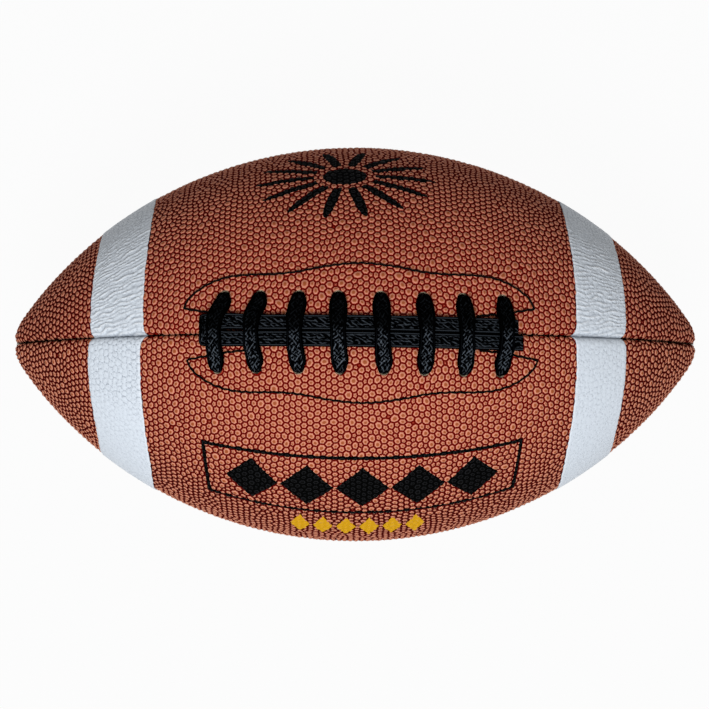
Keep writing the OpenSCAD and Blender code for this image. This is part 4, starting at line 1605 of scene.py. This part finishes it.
@dataclass(frozen=True)
class FramePrint:
    """A plain frame round a row of dark lozenges, and a row of small yellow ones below it."""

    half_len: float = 59.0
    end_slant: float = -0.08
    half_turn_deg: float = 11.6
    line_w: float = 1.5
    big: LozengeRow = LozengeRow("big", turn_deg=47.2, middle=1.4, period=20.4, half_w=9.9,
                                 half_h=10.4, count=5)
    small: LozengeRow = LozengeRow("small", turn_deg=67.5, middle=0.0, period=8.6, half_w=3.7,
                                   half_h=8.0, count=6)

    def steps(self) -> Steps:
        """Sums that are 1 where the dark ink lies, named dark, and where the yellow lies, named small."""
        return self.big.steps() | self.small.steps() | {
            "half": ("MULTIPLY_ADD", "big_down", self.end_slant, self.half_len),
            "from_end": ("SUBTRACT", "half", "big_far"),
            "reach": ("MULTIPLY", "radius", self.half_turn_deg * DEGREE),
            "from_side": ("SUBTRACT", "reach", "big_high"),
            "from_edge": ("MINIMUM", "from_end", "from_side"),
            "within": ("GREATER_THAN", "from_edge", 0.0),
            "on_edge": ("LESS_THAN", "from_edge", self.line_w),
            "line": ("MULTIPLY", "within", "on_edge"),
            "dark": ("MAXIMUM", "line", "big"),
        }


@dataclass(frozen=True)
class RaysPrint:
    """An oval of plain dark rays round a disc."""

    middle: float = -5.0
    turn_deg: float = 52.0
    half_w: float = 27.0
    half_h: float = 19.0
    rays: float = 14.0
    taper: float = 1.6
    start_share: float = 0.42
    disc_share: float = 0.3

    def steps(self) -> Steps:
        """Sums that are 1 where the dark ink lies, named dark."""
        return {
            "side": ("SUBTRACT", "along", self.middle),
            "past": ("SUBTRACT", "turn", self.turn_deg),
            "down": ("MULTIPLY", "past", "degree_mm"),
            "x": ("DIVIDE", "side", self.half_w),
            "y": ("DIVIDE", "down", self.half_h),
            "xx": ("MULTIPLY", "x", "x"),
            "yy": ("MULTIPLY", "y", "y"),
            "squares": ("ADD", "xx", "yy"),
            "far": ("SQRT", "squares"),
            "angle": ("ARCTAN2", "y", "x"),
            "rounds": ("MULTIPLY", "angle", self.rays),
            "ray": ("COSINE", "rounds"),
            "narrow": ("MULTIPLY_ADD", "far", self.taper, -1.0),
            "in_ray": ("GREATER_THAN", "ray", "narrow"),
            "past_start": ("GREATER_THAN", "far", self.start_share),
            "wedge": ("MULTIPLY", "in_ray", "past_start"),
            "disc": ("LESS_THAN", "far", self.disc_share),
            "dark": ("MAXIMUM", "wedge", "disc"),
        }


@dataclass(frozen=True)
class EmbossedLeather:
    """Composite leather, cast on a grained paper: half-glossy tops over duller, dark red grooves. Light and
    shade are partly painted on: a highlight on each pebble's rim, a dimple's shade in its middle, shade in the
    grooves and along the seams, and more shade towards the noses and the sides.
    """

    print: Print = Print.NONE
    top: str = "#bf6041"
    top_dark: str = "#ae5332"
    # Painted highlight on each pebble's rim.
    ring: str = "#e09a7b"
    # Grooves and their walls: the leather's dark red, deepened by painted shade in the recesses.
    groove: str = "#3c0402"
    groove_side: str = "#9a1309"
    # Painted shade: grooves and their walls darker towards the noses and the sides.
    shaded_groove: str = "#140101"
    shaded_side: str = "#6e0e08"
    # Painted shade in the creases along the seams.
    fold: str = "#0d0201"
    # Painted shade of a dimple in each pebble's middle.
    dimple: str = "#9a5022"
    cut_edge: str = "#dccbaa"
    ink: str = "#020202"
    # Painted highlight on the ink over the pebbles' rims.
    ink_highlight: str = "#202022"
    ink_shine: float = 0.02
    second_ink: str = "#dba31a"
    roughness: float = 0.58
    groove_roughness: float = 0.85
    shine: float = 0.14
    groove_shine: float = 0.02
    ior: float = 1.5
    grain_mm: float = 0.22
    grain_share: float = 0.12
    patch_mm: float = 1000 / 45
    bump_mm: float = 0.12
    tone_range: tuple = (0.35, 1.65)
    side_range: tuple = (0.04, 0.55)
    # Painted shade: towards the noses and the sides the tops' colour starts higher up the slopes, so the dark
    # grooves look wider.
    top_from: tuple = (0.54, 0.6)
    top_full: float = 0.97
    ring_range: tuple = (0.5, 0.1)
    spot_range: tuple = (0.38, 0.72)
    spot_share: float = 0.9
    ink_highlight_range: tuple = (0.4, 0.0)
    ink_top_range: tuple = (0.8, 1.0)

    def build(self) -> bpy.types.Material:
        """Builds the material."""
        stored = ("relief", "dimple", "tone", "press", "fold", "cut")
        steps = {name: (ATTRIBUTE, "Fac", {"attribute_name": name}) for name in stored} | {
            "place": PLACE,
            "fine": (NOISE, "Fac", {"Vector": "place", "Scale": 1 / (self.grain_mm * MM), "Detail": 2.0}),
            "patch": (NOISE, "Fac", {"Vector": "place", "Scale": 1 / (self.patch_mm * MM), "Detail": 2.0}),
            "mixed": ("ADD", "tone", "patch"),
            "tops": (RANGE, 0, {"Value": "mixed", "From Min": self.tone_range[0],
                                "From Max": self.tone_range[1]}),
            "body": (MIX, 2, {"data_type": "RGBA", 0: "tops", 6: linear(self.top_dark), 7: linear(self.top)}),
            "start": (RANGE, 0, {"Value": "press", "To Min": self.top_from[0], "To Max": self.top_from[1]}),
            "rise": (RANGE, 0, {"interpolation_type": "SMOOTHSTEP", "Value": "relief", "From Min": "start",
                                "From Max": self.top_full}),
            "low": (RANGE, 0, {"Value": "relief", "From Min": self.side_range[0],
                               "From Max": self.side_range[1]}),
            # Painted shade deepens the grooves and their walls towards the noses and the sides.
            "deep": (MIX, 2, {"data_type": "RGBA", 0: "press", 6: linear(self.groove),
                              7: linear(self.shaded_groove)}),
            "slope": (MIX, 2, {"data_type": "RGBA", 0: "press", 6: linear(self.groove_side),
                               7: linear(self.shaded_side)}),
            "channel": (MIX, 2, {"data_type": "RGBA", 0: "low", 6: "deep", 7: "slope"}),
            # Painted highlight on the rims of the tops.
            "shoulder": (RANGE, 0, {"interpolation_type": "SMOOTHSTEP", "Value": "dimple",
                                    "From Min": self.ring_range[0], "From Max": self.ring_range[1]}),
            "ringed": (MIX, 2, {"data_type": "RGBA", 0: "shoulder", 6: "body", 7: linear(self.ring)}),
            # Painted shade of a dimple in the middle of each top.
            "spot": (RANGE, 0, {"interpolation_type": "SMOOTHSTEP", "Value": "dimple",
                                "From Min": self.spot_range[0], "From Max": self.spot_range[1],
                                "To Max": self.spot_share}),
            "dotted": (MIX, 2, {"data_type": "RGBA", 0: "spot", 6: "ringed", 7: linear(self.dimple)}),
            "grained": (MIX, 2, {"data_type": "RGBA", 0: "rise", 6: "channel", 7: "dotted"}),
            "rough": (RANGE, 0, {"Value": "rise", "To Min": self.groove_roughness, "To Max": self.roughness}),
            "gloss": (RANGE, 0, {"Value": "rise", "To Min": self.groove_shine, "To Max": self.shine}),
        }
        printed, gloss = "grained", "gloss"
        if self.print is not Print.NONE:
            steps |= self._inked()
            printed, gloss = "printed", "ink_gloss"
        steps |= {
            # Painted shade along the seams, then the pale cut edge on the walls.
            "folded": (MIX, 2, {"data_type": "RGBA", 0: "fold", 6: printed, 7: linear(self.fold)}),
            "colour": (MIX, 2, {"data_type": "RGBA", 0: "cut", 6: "folded", 7: linear(self.cut_edge)}),
            "height": ("MULTIPLY_ADD", "fine", self.grain_share, "rise"),
            "bump": (BUMP, 0, {"Height": "height", "Distance": self.bump_mm * MM, "Strength": 0.6}),
            "surface": (SURFACE, 0, {"Base Color": "colour", "Roughness": "rough", "IOR": self.ior,
                                     "Specular IOR Level": gloss, "Normal": "bump"}),
        }
        return new_material(f"embossed_composite_leather_{self.print.value}", steps)

    def _inked(self) -> Steps:
        """Steps that lay the print over the leather, with a painted highlight that makes the ink a little paler
        on the rims of the pebbles.
        """
        shapes = FramePrint() if self.print is Print.FRAME else RaysPrint()
        steps = {
            "plan": (ATTRIBUTE, "Vector", {"attribute_name": "plan"}),
            "along": ("ShaderNodeSeparateXYZ", 0, {0: "plan"}),
            "turn": ("ShaderNodeSeparateXYZ", 1, {0: "plan"}),
            "radius": ("ShaderNodeSeparateXYZ", 2, {0: "plan"}),
            "degree_mm": ("MULTIPLY", "radius", DEGREE),
            "outer": (RANGE, 0, {"interpolation_type": "SMOOTHSTEP", "Value": "dimple",
                                 "From Min": self.ink_highlight_range[0], "From Max": self.ink_highlight_range[1]}),
            "upper": (RANGE, 0, {"interpolation_type": "SMOOTHSTEP", "Value": "relief",
                                 "From Min": self.ink_top_range[0], "From Max": self.ink_top_range[1]}),
            "rim": ("MULTIPLY", "outer", "upper"),
            "ink": (MIX, 2, {"data_type": "RGBA", 0: "rim", 6: linear(self.ink), 7: linear(self.ink_highlight)}),
        } | shapes.steps() | {
            "printed": (MIX, 2, {"data_type": "RGBA", 0: "dark", 6: "grained", 7: "ink"}),
            "ink_gloss": (MIX, 0, {0: "dark", 2: "gloss", 3: self.ink_shine}),
        }
        if self.print is Print.FRAME:
            steps["inked"] = steps.pop("printed")
            steps["printed"] = (MIX, 2, {"data_type": "RGBA", 0: "small", 6: "inked",
                                         7: linear(self.second_ink)})
        return steps


@dataclass(frozen=True)
class CoatedFilm:
    """White polyurethane film, hot pressed over the grain: creased, with a satin face and faint dots, painted
    shade on the pebbles' upper rims, in the dots, under the creases and along the seam, and painted highlights
    on the crests and along its edges.
    """

    top: str = "#e9eff6"
    # Painted shade on the pebbles' upper rims, under the creases and in the dents of the faint dots.
    groove: str = "#9aa1ab"
    # Painted highlight on the crests and along the edges.
    crest: str = "#fbfcfd"
    # Painted shade along the seam and on the edges and the underside.
    fold: str = "#7d838c"
    roughness: float = 0.5
    shine: float = 0.2
    ior: float = 1.5
    grain_mm: float = 0.5
    dot_mm: float = 1.1
    dot_range: tuple = (0.12, 0.42)
    dot_share: float = 0.26
    dot_d: float = -3.0
    bump_mm: float = 0.12

    def build(self) -> bpy.types.Material:
        """Builds the material."""
        stored = {name: (ATTRIBUTE, "Fac", {"attribute_name": name}) for name in ("relief", "crest", "fold")}
        return new_material("white_polyurethane_film", stored | {
            "place": PLACE,
            "fine": (NOISE, "Fac", {"Vector": "place", "Scale": 1 / (self.grain_mm * MM), "Detail": 2.0}),
            "dots": ("ShaderNodeTexVoronoi", "Distance", {"Vector": "place", "Scale": 1 / (self.dot_mm * MM)}),
            "dotted": (RANGE, 0, {"Value": "dots", "From Min": self.dot_range[0], "From Max": self.dot_range[1],
                                  "To Min": self.dot_share, "To Max": 0.0}),
            # Painted shade on the pebbles' rims and under the creases, then a painted highlight on the crests.
            "pressed": (MIX, 2, {"data_type": "RGBA", 0: "relief", 6: linear(self.groove), 7: linear(self.top)}),
            "creased": (MIX, 2, {"data_type": "RGBA", 0: "crest", 6: "pressed", 7: linear(self.crest)}),
            "folded": (MIX, 2, {"data_type": "RGBA", 0: "fold", 6: "creased", 7: linear(self.fold)}),
            # Painted shade in the dents of the faint dots.
            "colour": (MIX, 2, {"data_type": "RGBA", 0: "dotted", 6: "folded", 7: linear(self.groove)}),
            "height": ("MULTIPLY_ADD", "dotted", self.dot_d, "fine"),
            "bump": (BUMP, 0, {"Height": "height", "Distance": self.bump_mm * MM, "Strength": 0.9}),
            "surface": (SURFACE, 0, {"Base Color": "colour", "Roughness": self.roughness, "IOR": self.ior,
                                     "Specular IOR Level": self.shine, "Normal": "bump"}),
        })


@dataclass(frozen=True)
class NettedStrap:
    """Black moulded lace with a leather-like skin: a raised net over dull pits. The net gets a painted
    highlight, strongest on the front halves of the stitches, which face the lamp, and the back halves are
    painted black as shade.
    """

    pit: str = "#010102"
    # Painted highlight on the net's ridges and border lines.
    ridge: str = "#4b525a"
    # Painted shade: black without highlight where the lace faces away from the lamp.
    shaded_black: str = "#020202"
    fibre_mm: float = 0.35
    fibre_stretch: tuple = (0.2, 1.0, 1.0)
    high_range: tuple = (0.2, 0.9)
    roughness: float = 0.45
    pit_roughness: float = 0.75
    shine: float = 0.18
    bump_mm: float = 0.12

    def build(self) -> bpy.types.Material:
        """Builds the material."""
        stored = {name: (ATTRIBUTE, "Fac", {"attribute_name": name}) for name in ("ridge", "sheen")}
        return new_material("black_moulded_lace", stored | {
            "strap": (ATTRIBUTE, "Vector", {"attribute_name": "strap"}),
            "stretch": ("ShaderNodeVectorMath", 0, {"operation": "MULTIPLY", 0: "strap", 1: self.fibre_stretch}),
            "fibre": (NOISE, "Fac", {"Vector": "stretch", "Scale": 1 / self.fibre_mm, "Detail": 2.0}),
            "high": (RANGE, 0, {"interpolation_type": "SMOOTHSTEP", "Value": "ridge",
                                "From Min": self.high_range[0], "From Max": self.high_range[1]}),
            "netted": (MIX, 2, {"data_type": "RGBA", 0: "high", 6: linear(self.pit), 7: linear(self.ridge)}),
            # Painted highlight on the ridges, and painted black shade where the lace faces away from the lamp.
            "colour": (MIX, 2, {"data_type": "RGBA", 0: "sheen", 6: linear(self.shaded_black), 7: "netted"}),
            "rough": (RANGE, 0, {"Value": "high", "To Min": self.pit_roughness, "To Max": self.roughness}),
            "polish": ("MULTIPLY", "high", "sheen"),
            "gloss": (RANGE, 0, {"Value": "polish", "To Min": 0.0, "To Max": self.shine}),
            "bump": (BUMP, 0, {"Height": "fibre", "Distance": self.bump_mm * MM, "Strength": 0.7}),
            "surface": (SURFACE, 0, {"Base Color": "colour", "Roughness": "rough", "Specular IOR Level": "gloss",
                                     "Normal": "bump"}),
        })


@dataclass(frozen=True)
class WaxedThread:
    """Twisted polyester thread with wax on it: slanting plies with a low sheen."""

    name: str = "waxed_black_thread"
    colour: str = "#020202"
    pale: str = "#060607"
    roughness: float = 0.7
    shine: float = 0.03
    twist_mm: float = 0.5
    twist_share: float = 0.3
    bump_mm: float = 0.08

    def build(self) -> bpy.types.Material:
        """Builds the material."""
        return new_material(self.name, {
            "place": PLACE,
            "ply": (WAVE, "Fac", {"bands_direction": "DIAGONAL", "Vector": "place",
                                  "Scale": self.twist_share / (self.twist_mm * MM), "Distortion": 1.0}),
            "colour": (MIX, 2, {"data_type": "RGBA", 0: "ply", 6: linear(self.colour), 7: linear(self.pale)}),
            "bump": (BUMP, 0, {"Height": "ply", "Distance": self.bump_mm * MM, "Strength": 0.7}),
            "surface": (SURFACE, 0, {"Base Color": "colour", "Roughness": self.roughness,
                                     "Specular IOR Level": self.shine, "Normal": "bump"}),
        })


@dataclass(frozen=True)
class WovenCloth:
    """Plain woven cloth, laminated and stiff: fine checks of warp and weft."""

    name: str
    warp: str
    weft: str
    thread_mm: float = 0.9
    roughness: float = 0.85
    bump_mm: float = 0.2

    def build(self) -> bpy.types.Material:
        """Builds the material."""
        band = {"Vector": "place", "Scale": WAVE_LENGTH / (self.thread_mm * MM), "Distortion": 0.3}
        return new_material(self.name, {
            "place": PLACE,
            "along": (WAVE, "Fac", {"bands_direction": "X"} | band),
            "across": (WAVE, "Fac", {"bands_direction": "Y"} | band),
            "weave": ("MULTIPLY", "along", "across"),
            "colour": (MIX, 2, {"data_type": "RGBA", 0: "weave", 6: linear(self.weft), 7: linear(self.warp)}),
            "bump": (BUMP, 0, {"Height": "weave", "Distance": self.bump_mm * MM, "Strength": 0.6}),
            "surface": (SURFACE, 0, {"Base Color": "colour", "Roughness": self.roughness, "Normal": "bump"}),
        })


@dataclass(frozen=True)
class ButylRubber:
    """Moulded butyl rubber: soft black with a dusting of talc."""

    name: str
    colour: str
    talc: str
    roughness: float = 0.62
    smoother: float = 0.1
    rougher: float = 0.2
    talc_mm: float = 2.5
    talc_range: tuple = (0.5, 0.8)
    bump_mm: float = 0.1

    def build(self) -> bpy.types.Material:
        """Builds the material."""
        return new_material(self.name, {
            "place": PLACE,
            "dust": (NOISE, "Fac", {"Vector": "place", "Scale": 1 / (self.talc_mm * MM), "Detail": 4.0}),
            "share": (RANGE, 0, {"Value": "dust", "From Min": self.talc_range[0],
                                 "From Max": self.talc_range[1]}),
            "colour": (MIX, 2, {"data_type": "RGBA", 0: "share", 6: linear(self.colour), 7: linear(self.talc)}),
            "rough": (RANGE, 0, {"Value": "dust", "To Min": self.roughness - self.smoother,
                                 "To Max": self.roughness + self.rougher}),
            "bump": (BUMP, 0, {"Height": "dust", "Distance": self.bump_mm * MM, "Strength": 0.24}),
            "surface": (SURFACE, 0, {"Base Color": "colour", "Roughness": "rough", "Normal": "bump"}),
        })


class InnerPieces:
    """Pieces under the cover that keep their construction shapes and get their finishes."""

    finishes = {
        "lining_": WovenCloth("laminated_cotton_lining", "#dccfb4", "#bfae8c"),
        "facing_front": WovenCloth("stiff_canvas_facing", "#cdb88f", "#a8926a", thread_mm=1.2),
        "facing_back": WovenCloth("stiff_canvas_facing_back", "#cdb88f", "#a8926a", thread_mm=1.2),
        "lace_guard": WovenCloth("rubberised_guard_cloth", "#948f84", "#6f6a60"),
        "seam_thread": WaxedThread("waxed_cream_thread", "#d8ccb0", "#efe6cf"),
        "bladder": ButylRubber("butyl_bladder", "#26262a", "#55555a"),
        "valve_patch": ButylRubber("butyl_patch", "#323236", "#5c5c60"),
        "valve_housing": ButylRubber("moulded_valve_rubber", "#1c1c1f", "#3c3c40", 0.5),
        "valve_core": ButylRubber("moulded_core_rubber", "#3a3a3f", "#5a5a5e", 0.55),
    }

    def dress(self) -> None:
        """Gives every inner node the finish that the start of its name calls for."""
        for start, finish in self.finishes.items():
            material = finish.build()
            for name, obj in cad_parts.items():
                if name.startswith(start):
                    obj.data.materials.clear()
                    obj.data.materials.append(material)
                    log.info("%s: %s", name, material.name)


@dataclass
class Studio:
    """Pale floor, a soft lamp, an even sky and the camera."""

    distance: float = 930.0
    lean_deg: float = 3.3
    side_deg: float = 1.1
    lens: float = 122.7
    sensor: float = 36.0
    reach: float = 20000.0
    image_px: float = 709.0
    centre_px: tuple = (356.0, 344.5)
    floor_half: float = 3000.0
    floor_colour: str = "#b8b8b8"
    glow_share: float = 0.955
    sky: float = 0.3
    key_place: tuple = (-100.0, -610.0, 1050.0)
    key_dia: float = 450.0
    key_watts: float = 10.4
    key_colour: tuple = (0.955, 1.0, 1.05)

    def build(self, floor_z: float) -> None:
        """Builds the studio round a part that stands at floor_z, in metres."""
        self._floor(floor_z / MM)
        self._lights()
        self._camera()
        bpy.context.scene.view_settings.view_transform = "Standard"

    @staticmethod
    def _seen() -> Steps:
        """Steps that are 1 for rays that show a background: of the camera, of reflections and through pieces."""
        return {
            "camera": ("ShaderNodeLightPath", "Is Camera Ray", {}),
            "glossy": ("ShaderNodeLightPath", "Is Glossy Ray", {}),
            "through": ("ShaderNodeLightPath", "Is Transmission Ray", {}),
            "mirrored": ("MAXIMUM", "camera", "glossy"),
            "seen": ("MAXIMUM", "mirrored", "through"),
        }

    def _floor(self, z: float) -> None:
        """A wide pale floor, white where the camera sees it and with the part's shadow."""
        half = self.floor_half
        corners = np.array([[x * half, y * half, z] for x, y in ((-1, -1), (1, -1), (1, 1), (-1, 1))])
        obj = mesh_object("studio_floor", corners, [(0, 1, 2, 3)], smooth_shaded=False)
        obj.data.materials.append(new_material("pale_paper_floor", self._seen() | {
            "paper": ("ShaderNodeBsdfDiffuse", 0, {"Color": linear(self.floor_colour)}),
            "glow": ("ShaderNodeEmission", 0, {"Color": (1, 1, 1, 1), "Strength": 1.0}),
            "share": ("MULTIPLY", "seen", self.glow_share),
            "surface": ("ShaderNodeMixShader", 0, {0: "share", 1: "paper", 2: "glow"}),
        }))
        obj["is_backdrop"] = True

    def _lights(self) -> None:
        """A soft key lamp from the front, and an even sky that shows as white."""
        lamp = bpy.data.lights.new("key_softbox", "AREA")
        lamp.shape = "DISK"
        lamp.size = self.key_dia * MM
        lamp.energy = self.key_watts
        lamp.color = self.key_colour
        obj = bpy.data.objects.new("key_softbox", lamp)
        obj.location = Vector(self.key_place) * MM
        obj.rotation_euler = (-obj.location).to_track_quat("-Z", "Y").to_euler()
        bpy.context.scene.collection.objects.link(obj)
        bpy.context.scene.world = bpy.data.worlds.new("studio_sky")
        shade(bpy.context.scene.world, self._seen() | {
            "strength": (RANGE, 0, {"Value": "seen", "To Min": self.sky, "To Max": 1.0}),
            "surface": ("ShaderNodeBackground", 0, {"Color": (1, 1, 1, 1), "Strength": "strength"}),
        })

    def _camera(self) -> None:
        """The camera looks almost straight down on the lacing."""
        lean, side = math.radians(self.lean_deg), math.radians(self.side_deg)
        place = Vector((-math.sin(side), -math.sin(lean) * math.cos(side), math.cos(lean) * math.cos(side)))
        place *= self.distance * MM
        forward = -place.normalized()
        right = forward.cross(Vector((0, 1, 0))).normalized()
        turned = Matrix((right, right.cross(forward), -forward)).transposed().to_4x4()
        data = bpy.data.cameras.new("photo_camera")
        data.lens = self.lens
        data.sensor_width = self.sensor
        data.shift_x = (self.image_px / 2 - self.centre_px[0]) / self.image_px
        data.shift_y = (self.centre_px[1] - self.image_px / 2) / self.image_px
        data.clip_end = self.reach * MM
        obj = bpy.data.objects.new("photo_camera", data)
        obj.matrix_world = Matrix.Translation(place) @ turned
        bpy.context.scene.collection.objects.link(obj)
        bpy.context.scene.camera = obj


def main() -> None:
    """Builds every piece around the frame."""
    logging.basicConfig(level=logging.INFO, format="%(message)s")
    lace = LaceStrap()
    valve = Hole(0.0, Side.BASE_BACK.middle, 4.45)
    front = CoverPanel(Side.LACE_FRONT, "cover_lace_front", 11, lace.holes(back=False))
    back = CoverPanel(Side.LACE_BACK, "cover_lace_back", 23, lace.holes(back=True))
    plain = EmbossedLeather().build()
    front.build(EmbossedLeather(Print.FRAME).build())
    # The back panel's leather is a little pinker, and darker, with a dimmer painted rim highlight: painted
    # shade, as it faces away from the lamp.
    back.build(EmbossedLeather(Print.RAYS, top="#b96146", top_dark="#a65138", ring="#d99073").build())
    CoverPanel(Side.BASE_BACK, "cover_base_back", 37, [valve]).build(plain)
    CoverPanel(Side.BASE_FRONT, "cover_base_front", 53, []).build(plain)
    film = CoatedFilm().build()
    thread = WaxedThread().build()
    StripeFilm(near=79.2, far=99.3, pull=2.2, creased=0.12, drift=2.9, netted=1.0,
               netted_low=0.3).build(front, True, "stripe_left_front", film)
    StripeFilm(near=79.2, far=98.9, pull=1.6, creased=0.12, drift=2.9, netted=0.4,
               netted_low=0.15).build(front, False, "stripe_right_front", film)
    StripeFilm(near=78.1, far=98.3, pull=1.0, creased=1.0, drift=2.2, netted=0.6,
               netted_low=0.9).build(back, True, "stripe_left_back", film)
    StripeFilm(near=79.2, far=98.9, pull=1.9, creased=0.85, drift=2.2, netted=0.6,
               netted_low=0.9).build(back, False, "stripe_right_back", film)
    lace.build(NettedStrap().build())
    FacingStitches().build(True, "facing_thread_front", thread)
    FacingStitches().build(False, "facing_thread_back", thread)
    InnerPieces().dress()
    Studio().build(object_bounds()[0][2])


if __name__ == "__main__":
    main()
